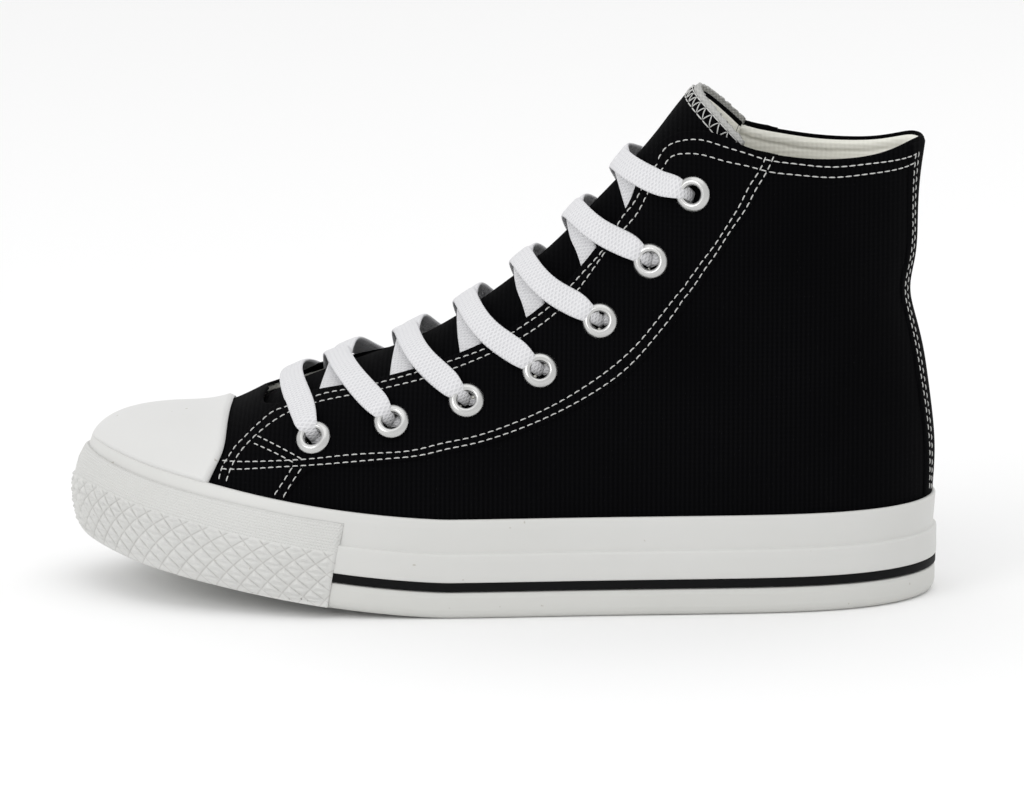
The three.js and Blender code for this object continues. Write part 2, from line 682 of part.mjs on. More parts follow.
// The area of the side view that the canvas covers: behind the throat, under the collar
function canvasZone() {
  const facing = drawnLine(FACING_EDGE);
  const collar = drawnLine(COLLAR_EDGE);
  const [backX, backZ] = collar[collar.length - 1];
  return sidePrism([
    [facing[0][0], facing[0][1] + BEYOND],
    ...facing,
    ...collar,
    [backX - BEYOND, backZ],
    [-BEYOND, -BEYOND],
    [LAST_LENGTH + BEYOND, -BEYOND],
    [LAST_LENGTH + BEYOND, facing[0][1] + BEYOND],
  ]);
}

// The area of the eyestay, from the throat back to its rear seam
function eyestayZone() {
  const edge = drawnLine(EYESTAY_EDGE);
  const [frontX, frontZ] = edge[0];
  const [topX] = edge[edge.length - 1];
  return sidePrism([
    ...edge,
    [topX, SHAFT_HEIGHT + BEYOND],
    [frontX, SHAFT_HEIGHT + BEYOND],
    [frontX, frontZ],
  ]);
}

// The area of the heel stay, a strip over the back seam
function heelStayZone() {
  const heights = [];
  for (let i = 0; i <= HEEL_STAY_STEPS; i += 1) {
    heights.push((HEEL_HEIGHT + BEYOND / 2) * i / HEEL_STAY_STEPS);
  }
  const seam = (z) => (z < BACK_SEAM[0].up * HEEL_HEIGHT ? 0 : seamCurve(z));
  return sidePrism([
    ...heights.map((z) => [seam(z) + HEEL_STAY_REACH, z]),
    [-BEYOND, heights[HEEL_STAY_STEPS]],
    [-BEYOND, heights[0]],
  ]);
}

// Where an eyelet sits, and the way it faces. Its rim rests on the highest of four places round it.
function eyeletSeat(row, side) {
  const near = (section, drop) => lastPoint(row.section + section, row.drop + drop, side, OVERLAY_STEP);
  const centre = near(0, 0);
  const along = near(SEAT_SECTION_STEP, 0).sub(near(-SEAT_SECTION_STEP, 0));
  const down = near(0, SEAT_DROP_STEP).sub(near(0, -SEAT_DROP_STEP));
  const normal = along.cross(down).normalize();
  if (normal.y * side < 0) {
    normal.negate();
  }
  const rimSection = 2 * SEAT_SECTION_STEP * EYELET_RADIUS / along.length();
  const rimDrop = 2 * SEAT_DROP_STEP * EYELET_RADIUS / down.length();
  const rim = [near(rimSection, 0), near(-rimSection, 0), near(0, rimDrop), near(0, -rimDrop)];
  const lift = Math.max(0, ...rim.map((point) => point.sub(centre).dot(normal)));
  return { centre: centre.addScaledVector(normal, lift), normal };
}

// Turns a shape made about the Y axis to stand on an eyelet's seat
function placeOnSeat(geometry, { centre, normal }) {
  const turn = new THREE.Quaternion().setFromUnitVectors(new THREE.Vector3(0, 1, 0), normal);
  geometry.applyQuaternion(turn);
  geometry.translate(centre.x, centre.y, centre.z);
  return geometry;
}

// Upper: one hollow canvas solid, thicker at eyestays and heel stay, with a hole for each eyelet
function buildUpper() {
  const raised = lastSolid(OVERLAY_STEP);
  const aboveSole = levels(same(SIDEWALL_TOP + GAP), same(SHAFT_HEIGHT * 2));
  let body = lastSolid(0)
    .add(raised.intersect(eyestayZone()).intersect(aboveSole))
    .add(raised.intersect(heelStayZone()).intersect(aboveSole))
    .subtract(lastSolid(-CANVAS))
    .intersect(canvasZone())
    .intersect(levels(same(OUTSOLE_EDGE + GAP), same(SHAFT_HEIGHT * 2)));
  const holeRadius = EYELET_HOLE + EYELET_BARREL + GAP;
  [LATERAL, MEDIAL].forEach((side) => EYELETS.forEach((row) => {
    const hole = new THREE.CylinderGeometry(holeRadius, holeRadius, HOLE_REACH, EYELET_FACETS);
    body = body.subtract(toSolid(placeOnSeat(hole, eyeletSeat(row, side))));
  }));
  return body;
}

// Tongue: a padded canvas strip under the laces, standing above the collar
function buildTongue() {
  const outer = -(CANVAS + GAP);
  const zone = sidePrism([
    ...drawnLine(TONGUE_EDGE, outer),
    ...drawnLine(TONGUE_TOP, outer),
    [LAST_LENGTH / 2, SHAFT_HEIGHT + BEYOND],
    [LAST_LENGTH, TOE_HEIGHT + BEYOND],
  ]);
  return shell(outer - TONGUE_PAD, outer).intersect(zone);
}

// Eyelet: a barrel through the canvas with a rounded rim outside
function buildEyelet(row, side) {
  const barrel = EYELET_HOLE + EYELET_BARREL;
  const depth = OVERLAY_STEP + CANVAS / 2;
  const profile = [
    [EYELET_HOLE, -depth],
    [barrel, -depth],
    [barrel, GAP],
    [EYELET_RADIUS, GAP],
    [(EYELET_RADIUS + EYELET_HOLE) / 2, GAP + EYELET_RIM],
    [EYELET_HOLE, GAP],
    [EYELET_HOLE, -depth],
  ].map(([radius, height]) => new THREE.Vector2(radius, height));
  return toSolid(placeOnSeat(new THREE.LatheGeometry(profile, EYELET_FACETS), eyeletSeat(row, side)));
}

// A flat lace along a path on the last: each place has its section, drop, side and height above the canvas
function ribbon(path) {
  const raised = (lift) => path.map(({ section, drop, side, grow }) => (
    lastPoint(section, Math.abs(drop), side, grow + lift)
  ));
  const centres = raised(0);
  const lifted = raised(1);
  const points = centres.flatMap((centre, i) => {
    const ahead = centres[Math.min(i + 1, centres.length - 1)];
    const behind = centres[Math.max(i - 1, 0)];
    const along = ahead.clone().sub(behind).normalize();
    const up = lifted[i].clone().sub(centre);
    const across = along.clone().cross(up).normalize().multiplyScalar(LACE_WIDTH / 2);
    const out = across.clone().cross(along).normalize().multiplyScalar(LACE_THICK / 2);
    return [
      centre.clone().add(across).add(out),
      centre.clone().sub(across).add(out),
      centre.clone().sub(across).sub(out),
      centre.clone().add(across).sub(out),
      centre.clone().add(across).add(out),
    ];
  });
  const triangles = stitchRows(path.length, 5);
  const end = (path.length - 1) * 5;
  triangles.push([0, 2, 1], [0, 3, 2], [end, end + 1, end + 2], [end, end + 2, end + 3]);
  return closedSolid(points, triangles);
}

const LACE_LIFT = OVERLAY_STEP + 4 * GAP + LACE_THICK;
const LACE_TUCK = LACE_THICK - CANVAS + 3 * GAP;
const LACE_FROM = 0.4;
const LACE_RISEN = 0.52;
const BAR_BOW = 0.3;

// One run of lace, from inside the throat on one side, over the tongue and the far facing, to short of
// the next eyelet
function laceRun(from, to, side) {
  const start = lastPoint(from.section, from.drop, -side, 0);
  const length = start.distanceTo(lastPoint(to.section, to.drop, side, 0));
  const endShare = 1 - (EYELET_RADIUS + 2 * GAP) / length;
  const path = [];
  for (let i = 0; i <= LACE_STEPS; i += 1) {
    const share = LACE_FROM + (endShare - LACE_FROM) * i / LACE_STEPS;
    const signed = -from.drop + (from.drop + to.drop) * share;
    path.push({
      section: from.section + (to.section - from.section) * share,
      drop: signed,
      side: signed < 0 ? -side : side,
      grow: LACE_TUCK + (LACE_LIFT - LACE_TUCK) * smoothstep(LACE_FROM, LACE_RISEN, share),
    });
  }
  return ribbon(path);
}

// Two runs that cross over the tongue, joined where they meet
function buildLaceCrossing(from, to) {
  return outerSkin(laceRun(from, to, LATERAL).add(laceRun(from, to, MEDIAL)));
}

// The first bar, straight across on the outside between the lowest eyelets, bowed a little to the toe
function buildLaceBar(row) {
  const width = 2 * lastPoint(row.section, row.drop, LATERAL, 0).y;
  const reach = 1 - 2 * (EYELET_RADIUS + 3 * GAP) / width;
  const path = [];
  for (let i = 0; i <= LACE_STEPS; i += 1) {
    const share = reach * (2 * i / LACE_STEPS - 1);
    path.push({
      section: row.section - BAR_BOW * (1 - share ** 2),
      drop: row.drop * share,
      side: share < 0 ? MEDIAL : LATERAL,
      grow: LACE_LIFT,
    });
  }
  return ribbon(path);
}

const shoe = new THREE.Group();
shoe.add(toMesh('outsole', buildOutsole(), 'outsole'));
shoe.add(toMesh('foxing', buildFoxing(), 'rubber'));
shoe.add(toMesh('pinstripe', buildPinstripe(), 'blackRubber'));
shoe.add(toMesh('toe_bumper', buildToeBumper(), 'rubber'));
shoe.add(toMesh('toe_cap', buildToeCap(), 'rubber'));
shoe.add(toMesh('upper', buildUpper(), 'canvas'));
shoe.add(toMesh('tongue', buildTongue(), 'canvas'));
shoe.add(toMesh('insole', buildInsole(), 'insole'));
EYELETS.forEach((row, i) => {
  shoe.add(toMesh(`eyelet_lateral_${i + 1}`, buildEyelet(row, LATERAL), 'eyelet'));
  shoe.add(toMesh(`eyelet_medial_${i + 1}`, buildEyelet(row, MEDIAL), 'eyelet'));
});
shoe.add(toMesh('lace_bar', buildLaceBar(EYELETS[0]), 'lace'));
EYELETS.slice(1).forEach((row, i) => {
  shoe.add(toMesh(`lace_crossing_${i + 1}`, buildLaceCrossing(EYELETS[i], row), 'lace'));
});

// The origin is on the floor under the middle of the shoe's box
const box = new THREE.Box3().setFromObject(shoe);
const middle = box.getCenter(new THREE.Vector3());
shoe.position.set(-middle.x, -middle.y, -box.min.z);
shoe.updateMatrixWorld(true);

export default shoe;
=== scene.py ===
# %% [markdown]
# A left high top canvas sneaker stands empty on its sole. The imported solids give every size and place, and
# this lesson dresses them: black canvas, white rubber, metal eyelets and a flat cotton lace.
# The frame comes first, because each piece below has to stay where the solids are.

# %% Load the frame
import math

import bmesh
import bpy
import numpy as np
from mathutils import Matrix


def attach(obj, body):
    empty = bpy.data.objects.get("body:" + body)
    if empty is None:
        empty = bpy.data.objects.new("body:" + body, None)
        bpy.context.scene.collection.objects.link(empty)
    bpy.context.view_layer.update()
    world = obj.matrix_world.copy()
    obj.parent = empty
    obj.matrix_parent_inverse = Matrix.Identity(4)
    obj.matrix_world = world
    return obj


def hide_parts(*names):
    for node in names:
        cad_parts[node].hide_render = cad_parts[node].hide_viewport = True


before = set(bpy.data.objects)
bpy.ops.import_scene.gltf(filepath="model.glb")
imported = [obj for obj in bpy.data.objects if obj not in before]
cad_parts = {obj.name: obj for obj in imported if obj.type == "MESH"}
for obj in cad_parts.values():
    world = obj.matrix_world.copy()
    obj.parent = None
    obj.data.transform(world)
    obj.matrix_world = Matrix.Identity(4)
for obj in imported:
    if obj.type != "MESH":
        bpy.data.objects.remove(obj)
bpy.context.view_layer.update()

# %% [markdown]
# A shoe is drawn on a last, a wooden foot whose surface every panel follows. So the last is one function of
# three parameters: section walks from the toe to the collar, turn goes round the foot, and grow lifts the
# point off the surface. Every panel, seam and lace below is a line or an area on that one surface.
# Sizes are in millimetres, measured from the heel's canvas, until a mesh is made.

# %% Sizes of the last and the sole
LAST_LENGTH = 267.0
BALL_WIDTH = 94.0
TOE_HEIGHT = 55.0
INSTEP_HEIGHT = 98.0
SHAFT_HEIGHT = 163.0
HEEL_HEIGHT = 147.0
HEEL_HOLLOW = 6.8
TOE_SPRING = 15.5
SPRING_LENGTH = 117.0
SPRING_CURVE = 1.4
BELOW_FLOOR = 8.0
SEAM_SECTION = 12
SOLE_SECTION = 11
WAIST_START = 35.0
WAIST_FULL = 70.0
HEEL_SPAN = 120.0
CANVAS = 2.0
OVERLAY_STEP = 0.7

# Where the frame's origin lies on the last
ORIGIN_ALONG = 135.212
ORIGIN_ACROSS = -0.672
MM = 0.001


def columns(names, rows):
    """A short table: each name stands for one column of the rows."""
    return dict(zip(names.split(), np.array(rows, float).T))


OUTLINE = columns("along lateral medial", [
    (0.0, -0.043, -0.043),
    (0.04, 0.205, -0.255),
    (0.12, 0.332, -0.35),
    (0.24, 0.392, -0.358),
    (0.4, 0.438, -0.338),
    (0.52, 0.478, -0.386),
    (0.62, 0.5, -0.452),
    (0.73, 0.483, -0.5),
    (0.83, 0.405, -0.482),
    (0.915, 0.286, -0.412),
    (0.97, 0.118, -0.292),
    (1.0, -0.095, -0.095),
])
RIDGE_LINE = columns("along across", [
    (0.0, -0.043), (0.15, -0.021), (0.35, 0.0), (0.6, 0.0), (0.8, -0.043), (1.0, -0.095),
])
BACK_SEAM = columns("up inward", [
    (0.136, 0.0), (0.231, -0.15), (0.306, -0.22), (0.395, -0.07), (0.463, 0.13), (0.531, 0.37),
    (0.599, 0.735), (0.66, 1.0), (0.728, 0.79), (0.823, 0.68), (0.918, 0.56), (0.993, 0.35), (1.1, 0.22),
])
SECTIONS = columns("ridge up size sole seam shoulder round waist", [
    (1.0, 0.709, TOE_HEIGHT, 1.0, 0, 0.45, 2.5, 1.0),
    (0.9948, 0.827, TOE_HEIGHT, 0.9948, 0, 0.45, 2.5, 1.0),
    (0.9798, 0.913, TOE_HEIGHT, 0.9798, 0, 0.45, 2.5, 1.0),
    (0.9494, 0.9745, TOE_HEIGHT, 0.9494, 0, 0.46, 2.45, 1.0),
    (0.8989, 1.0055, TOE_HEIGHT, 0.8989, 0, 0.48, 2.4, 1.0),
    (0.839, 1.04, TOE_HEIGHT, 0.8315, 0, 0.5, 2.4, 1.0),
    (0.7715, 0.6755, INSTEP_HEIGHT, 0.7416, 0, 0.54, 2.3, 1.0),
    (0.689, 0.77, INSTEP_HEIGHT, 0.629, 0, 0.58, 2.2, 1.0),
    (0.603, 0.867, INSTEP_HEIGHT, 0.487, 0, 0.62, 2.05, 1.0),
    (0.528, 1.0, INSTEP_HEIGHT, 0.3296, 0, 0.66, 1.95, 0.97),
    (0.4625, 0.687, SHAFT_HEIGHT, 0.18, 0, 0.66, 1.9, 0.93),
    (0.414, 0.767, SHAFT_HEIGHT, 0.067, 0, 0.62, 1.95, 0.9),
    (0.378, 0.829, SHAFT_HEIGHT, 0, 0, 0.56, 2.0, 0.88),
    (0.3614, 0.862, SHAFT_HEIGHT, 0, 0.19, 0.53, 2.05, 0.87),
    (0.3427, 0.899, SHAFT_HEIGHT, 0, 0.422, 0.51, 2.1, 0.85),
    (0.3165, 0.951, SHAFT_HEIGHT, 0, 0.653, 0.5, 2.2, 0.8),
    (0.29, 1.0, SHAFT_HEIGHT, 0, 0.864, 0.5, 2.2, 0.74),
    (0.258, 1.061, SHAFT_HEIGHT, 0, 1.075, 0.5, 2.2, 0.72),
])
print("sections", len(SECTIONS["up"]), "outline points", len(OUTLINE["along"]))

# %% Curves through the tables


def natural_spline(knots, values):
    """Natural cubic spline: between two knots the value is a cubic whose second slopes, the bends, solve one
    linear system and are zero at both ends."""
    knots = np.asarray(knots, float)
    values = np.asarray(values, float)
    gaps = np.diff(knots)
    slopes = np.diff(values) / gaps
    matrix = np.eye(len(knots))
    inner = np.arange(1, len(knots) - 1)
    matrix[inner, inner - 1] = gaps[:-1]
    matrix[inner, inner] = 2 * (gaps[:-1] + gaps[1:])
    matrix[inner, inner + 1] = gaps[1:]
    right = np.zeros(len(knots))
    right[inner] = 6 * np.diff(slopes)
    bends = np.linalg.solve(matrix, right)

    def curve(places):
        t = np.clip(places, knots[0], knots[-1])
        i = np.clip(np.searchsorted(knots, t) - 1, 0, len(gaps) - 1)
        gap = gaps[i]
        before = t - knots[i]
        after = knots[i + 1] - t
        bent = (bends[i] * after**3 + bends[i + 1] * before**3) / (6 * gap)
        start = (values[i] / gap - bends[i] * gap / 6) * after
        end = (values[i + 1] / gap - bends[i + 1] * gap / 6) * before
        return bent + start + end

    return curve


def smoothstep(start, end, value):
    """0 before start, 1 after end, and t * t * (3 - 2 t) between."""
    t = np.clip((value - start) / (end - start), 0, 1)
    return t * t * (3 - 2 * t)


def tread_height(x):
    """Height of the tread: flat under heel and ball, then rising to the toe as a power of the distance."""
    share = np.clip((x - (LAST_LENGTH - SPRING_LENGTH)) / SPRING_LENGTH, 0, None)
    return TOE_SPRING * share**SPRING_CURVE


PLACES = np.arange(len(SECTIONS["up"]))
ridge_x = natural_spline(PLACES, SECTIONS["ridge"] * LAST_LENGTH)
ridge_z = natural_spline(PLACES, SECTIONS["up"] * SECTIONS["size"])
sole_x = natural_spline(PLACES, SECTIONS["sole"] * LAST_LENGTH)
seam_z = natural_spline(PLACES, SECTIONS["seam"] * HEEL_HEIGHT)
shoulder = natural_spline(PLACES, SECTIONS["shoulder"])
roundness = natural_spline(PLACES, SECTIONS["round"])
waist = natural_spline(PLACES, SECTIONS["waist"])
seam_x = natural_spline(BACK_SEAM["up"] * HEEL_HEIGHT, BACK_SEAM["inward"] * HEEL_HOLLOW)
ridge_y = natural_spline(RIDGE_LINE["along"] * LAST_LENGTH, RIDGE_LINE["across"] * BALL_WIDTH)
print("the ridge rises from", round(float(ridge_z(0)), 1), "to", round(float(ridge_z(PLACES[-2])), 1), "mm")

# %% The plan outline, grown by any amount

GROWS = np.arange(-9.0, 12.01, 0.5)
ANGLES = np.linspace(0, math.pi, 1441)
LAST_ROW = len(GROWS) - 1.001


def outline_tables():
    """For each side and grow, the distance across at even steps of the angle in x = L (1 - cos angle) / 2.
    A grown point is the outline's point plus grow times its outward normal."""
    tables = []
    for side, name in ((1, "lateral"), (-1, "medial")):
        across = natural_spline(np.arccos(1 - 2 * OUTLINE["along"]), OUTLINE[name] * BALL_WIDTH)
        x = LAST_LENGTH * (1 - np.cos(ANGLES)) / 2
        y = across(ANGLES)
        slope_x = LAST_LENGTH * np.sin(ANGLES) / 2
        slope_y = np.gradient(y, ANGLES)
        length = np.hypot(slope_x, slope_y)
        normal_x = -slope_y * side / length
        normal_y = slope_x * side / length
        normal_x[[0, -1]] = (-1, 1)
        normal_y[[0, -1]] = 0
        rows = []
        for grow in GROWS:
            wanted = -grow + (LAST_LENGTH + 2 * grow) * (1 - np.cos(ANGLES)) / 2
            rows.append(np.interp(wanted, x + grow * normal_x, y + grow * normal_y))
        tables.append(rows)
    return np.array(tables)


OUTLINE_TABLES = outline_tables()


def outline_at(x, side, grow):
    """Distance across of the grown outline at x, read between the rows and columns of its table."""
    share = np.clip(1 - 2 * (x + grow) / (LAST_LENGTH + 2 * grow), -1, 1)
    place = np.arccos(share) / math.pi * (len(ANGLES) - 1)
    level = np.clip((grow - GROWS[0]) / (GROWS[1] - GROWS[0]), 0, LAST_ROW)
    column = np.minimum(place.astype(int), len(ANGLES) - 2)
    row = level.astype(int)
    which = np.where(side > 0, 0, 1)
    right = place - column

    def between(grown_row):
        """The value of one row between its two nearest columns."""
        nearest = OUTLINE_TABLES[which, grown_row, column]
        following = OUTLINE_TABLES[which, grown_row, column + 1]
        return nearest * (1 - right) + following * right

    low = between(row)
    return low + (between(row + 1) - low) * (level - row)


print("outline tables", OUTLINE_TABLES.shape)

# %% The last as one surface
SLOPE_STEP = 0.001
ON_SEAM = 1 - 1e-9


def turn_of(drop):
    """The turn that goes with a share of the way from ridge to sole: drop = (1 - cos(pi turn)) / 2."""
    return np.arccos(1 - 2 * np.asarray(drop, float)) / math.pi


def end_height(section):
    """Height where a section meets the sole or the back seam."""
    rise = np.clip(section - SEAM_SECTION, 0, 1)
    return np.where(section <= SEAM_SECTION, -BELOW_FLOOR, seam_z(section) - BELOW_FLOOR * (1 - rise))


def last(section, turn, grow):
    """A point of the last. drop = (1 - cos(pi turn)) / 2 walks from the ridge to the sole or the back
    seam, and the half width is the outline's times (1 - (1 - drop / shoulder)^round)^(1 / round). The
    sign of turn is the side: plus for lateral, minus for medial."""
    section, turn, grow = np.broadcast_arrays(*(np.asarray(value, float) for value in (section, turn, grow)))
    side = np.where(turn < 0, -1, 1)
    drop = (1 - np.cos(math.pi * np.minimum(np.abs(turn), 1))) / 2
    slope_x = ridge_x(section + SLOPE_STEP) - ridge_x(section - SLOPE_STEP)
    slope_z = ridge_z(section + SLOPE_STEP) - ridge_z(section - SLOPE_STEP)
    slope = np.hypot(slope_x, slope_z)
    normal_x = np.where(section <= 0, 1, slope_z / slope)
    normal_z = np.where(section <= 0, 0, -slope_x / slope)
    top_x = ridge_x(section) + grow * normal_x
    top_z = ridge_z(section) + grow * normal_z
    push = normal_x + np.maximum(section - SOLE_SECTION, 0) * (-1 - normal_x)
    end_z = end_height(section)
    sole_end = np.maximum(sole_x(section), 0) + grow * push
    end_x = np.where(section <= SEAM_SECTION, sole_end, seam_x(end_z) - grow)
    x = top_x + (end_x - top_x) * drop
    z = top_z + (end_z - top_z) * drop
    power = roundness(section)
    arch = (1 - np.clip(1 - drop / shoulder(section), 0, 1) ** power) ** (1 / power)
    narrowed = 1 + (waist(section) - 1) * smoothstep(WAIST_START, WAIST_FULL, z)
    seam = np.where(z < BACK_SEAM["up"][0] * HEEL_HEIGHT, 0, seam_x(z))
    stretched = HEEL_SPAN - (HEEL_SPAN - x) * (HEEL_SPAN + grow) / (HEEL_SPAN + grow - seam)
    middle = ridge_y(x)
    full = outline_at(np.where(x < HEEL_SPAN, stretched, x), side, grow)
    on_seam = (section <= 0) | ((section >= SEAM_SECTION) & (np.abs(turn) >= ON_SEAM))
    y = middle + np.where(on_seam, 0, full - middle) * arch * narrowed
    return np.stack([x, y, z], -1)


print("top of the heel", last(PLACES[-2], 1.0, 0.0).round(1), "toe tip", last(0.0, 1.0, 0.0).round(1))

# %% [markdown]
# Every line on the shoe is a few marks on the last, as a pattern cutter pricks them, with a smooth curve
# through them. Evenly spaced points along such a line make evenly sized faces, which is what lets a fold
# or a seam come out clean, so each line is resampled by its real length.

# %% Lines on the last
SEARCH_COUNT = 400
TOE_SECTIONS = 5
HEEL_SECTIONS = 2
SETTLING = 8


def drawn(marks, count, grow=0.0, fine=SEARCH_COUNT):
    """Marks (section, drop) as count points (section, turn), evenly spaced by length on the surface."""
    marks = np.array(marks, float)
    turns = turn_of(marks[:, 1])
    chords = np.linalg.norm(np.diff(last(marks[:, 0], turns, grow), axis=0), axis=1)
    knots = np.concatenate([[0], np.cumsum(chords)])
    dense = np.linspace(0, knots[-1], fine)
    line = np.stack([natural_spline(knots, marks[:, 0])(dense), natural_spline(knots, turns)(dense)], -1)
    return evenly(line, count, grow)


def evenly(line, count, grow=0.0):
    """A dense line of (section, turn) resampled to count points by its length."""
    steps = np.linalg.norm(np.diff(last(line[:, 0], line[:, 1], grow), axis=0), axis=1)
    length = np.concatenate([[0], np.cumsum(steps)])
    wanted = np.linspace(0, length[-1], count)
    return np.stack([np.interp(wanted, length, line[:, k]) for k in range(2)], -1)


def level_line(height, grow, count, fine=500):
    """Points (section, turn) of one side at a height above the tread, from the toe to the heel. On a section
    drop = (ridge z - z) / (ridge z - end z), and z = tread height + height is repeated until it settles."""
    search = np.linspace(0, TOE_SECTIONS, SEARCH_COUNT)
    front = last(search, 0, grow)
    clear = front[:, 2] - tread_height(front[:, 0]) - height
    first = 0.0 if clear[0] > 0 else float(np.interp(0, clear, search))
    back = np.linspace(SEAM_SECTION, SEAM_SECTION + HEEL_SECTIONS, SEARCH_COUNT)
    final = float(np.interp(height, end_height(back), back))
    section = first + (final - first) * (1 - np.cos(math.pi * np.linspace(0, 1, fine))) / 2
    top = last(section, 0, grow)
    bottom = last(section, 1, grow)
    z = height + tread_height(top[:, 0])
    for _ in range(SETTLING):
        drop = np.clip((top[:, 2] - z) / (top[:, 2] - bottom[:, 2]), 0, 1)
        z = height + tread_height(top[:, 0] + (bottom[:, 0] - top[:, 0]) * drop)
    drop[-1] = 1
    if first > 0:
        drop[0] = 0
    return evenly(np.stack([section, turn_of(drop)], -1), count, grow)


def level_ring(height, grow, count):
    """The level line of both sides as one closed ring of points, from the heel by the lateral side to the
    toe."""
    line = level_line(height, grow, count)
    lateral = last(line[::-1, 0], line[::-1, 1], grow)
    medial = last(line[1:-1, 0], -line[1:-1, 1], grow)
    return np.concatenate([lateral, medial])


FACING_EDGE = [
    (5.78, 0.0), (5.84, 0.03), (6.1, 0.048), (7.0, 0.066), (8.0, 0.09), (8.7, 0.106), (9.3, 0.11),
    (10.4, 0.088), (11.6, 0.065), (12.6, 0.052), (13.6, 0.045), (14.12, 0.043),
]
COLLAR_EDGE = [
    (14.12, 0.043), (14.61, 0.053), (15.0, 0.082), (15.36, 0.134), (15.55, 0.209), (15.6, 0.275),
    (15.75, 0.382), (16.02, 0.569), (16.19, 0.693), (16.37, 0.821), (16.51, 0.907), (16.6, 0.965),
    (16.63, 1.0),
]
EYESTAY_FRONT = [
    (4.95, 0.27), (4.98, 0.22), (5.1, 0.155), (5.3, 0.112), (5.55, 0.08), (5.8, 0.058),
]
EYESTAY_EDGE = [
    (4.98, 0.29), (5.5, 0.35), (5.92, 0.405), (6.08, 0.385), (6.3, 0.325), (6.52, 0.305), (6.86, 0.321),
    (7.46, 0.342), (7.86, 0.353), (8.4, 0.362), (8.8, 0.362), (9.26, 0.355), (9.72, 0.342), (10.24, 0.322),
    (10.76, 0.299), (11.36, 0.275), (11.63, 0.265), (11.96, 0.257), (12.35, 0.263), (12.74, 0.275),
    (13.1, 0.288), (13.45, 0.299), (14.1, 0.326), (14.9, 0.378), (15.46, 0.402), (15.79, 0.412),
]
EYELETS = [
    (6.5, 0.2), (7.46, 0.215), (8.35, 0.227), (9.27, 0.234), (10.28, 0.199), (11.66, 0.16), (14.04, 0.184),
]
print("marks of the facing", len(FACING_EDGE), "of the collar", len(COLLAR_EDGE), "eyelets", 2 * len(EYELETS))

# %% [markdown]
# A panel is a grid, and its thickness is a second grid behind the first. Stitching the two along every free
# edge gives a closed piece, also round a punched hole, so light never leaks through an open mesh.

# %% Grids into meshes
MERGE_WITHIN = 2e-6


def quads(index):
    """Faces of four corners for a grid of point numbers."""
    return np.stack([index[:-1, :-1], index[:-1, 1:], index[1:, 1:], index[1:, :-1]], -1).reshape(-1, 4)


def wrapped(index):
    """A grid of point numbers whose last column is its first one again."""
    return np.concatenate([index, index[:, :1]], axis=1)


def closed_sheet(front, back, keep=None):
    """Points and faces of a sheet between two grids of the same shape. keep marks the cells that stay, and
    each edge between a kept cell and an empty one gets a wall."""
    rows, cols = front.shape[:2]
    if keep is None:
        keep = np.ones((rows - 1, cols - 1), bool)
    number = np.arange(rows * cols).reshape(rows, cols)
    offset = rows * cols
    corners = np.stack([number[:-1, :-1], number[:-1, 1:], number[1:, 1:], number[1:, :-1]], -1)
    faces = [corners[keep], corners[keep][:, ::-1] + offset]
    padded = np.pad(keep, 1)
    middle = padded[1:-1, 1:-1]
    neighbours = (padded[:-2, 1:-1], padded[1:-1, 2:], padded[2:, 1:-1], padded[1:-1, :-2])
    for edge, neighbour in enumerate(neighbours):
        open_edge = middle & ~neighbour
        start = corners[open_edge][:, edge]
        end = corners[open_edge][:, (edge + 1) % 4]
        faces.append(np.stack([end, start, start + offset, end + offset], -1))
    points = np.concatenate([front.reshape(-1, 3), back.reshape(-1, 3)])
    return points, np.concatenate(faces)


def closed_ring(rows):
    """Points and faces of a closed profile carried round a closed ring: both ways of the grid wrap."""
    rows = np.asarray(rows)
    count, around = rows.shape[:2]
    number = np.arange(count * around).reshape(count, around)
    faces = quads(wrapped(np.concatenate([number, number[:1]])))
    return rows.reshape(-1, 3), faces


def piece(name, points, faces, material, replaces=(), uv=None):
    """A mesh object from points in millimetres on the last and faces of four corners. Doubled points are
    merged, faces are turned outwards, and the piece rides on the one body."""
    mesh = bpy.data.meshes.new(name)
    placed = (points - (ORIGIN_ALONG, ORIGIN_ACROSS, 0)) * MM
    mesh.vertices.add(len(placed))
    mesh.vertices.foreach_set("co", placed.ravel())
    mesh.loops.add(faces.size)
    mesh.loops.foreach_set("vertex_index", faces.ravel().astype(np.int32))
    mesh.polygons.add(len(faces))
    mesh.polygons.foreach_set("loop_start", np.arange(0, faces.size, 4, dtype=np.int32))
    mesh.polygons.foreach_set("loop_total", np.full(len(faces), 4, np.int32))
    mesh.update(calc_edges=True)
    if uv is not None:
        layer = mesh.uv_layers.new(name="surface")
        layer.data.foreach_set("uv", uv[faces.ravel()].astype(np.float32).ravel())
    work = bmesh.new()
    work.from_mesh(mesh)
    bmesh.ops.remove_doubles(work, verts=work.verts, dist=MERGE_WITHIN)
    bmesh.ops.recalc_face_normals(work, faces=work.faces)
    for face in work.faces:
        face.smooth = True
    work.to_mesh(mesh)
    work.free()
    mesh.materials.append(material)
    made = bpy.data.objects.new(name, mesh)
    bpy.context.collection.objects.link(made)
    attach(made, "root")
    if replaces:
        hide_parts(*replaces)
    print(name, len(mesh.polygons), "faces")
    return made
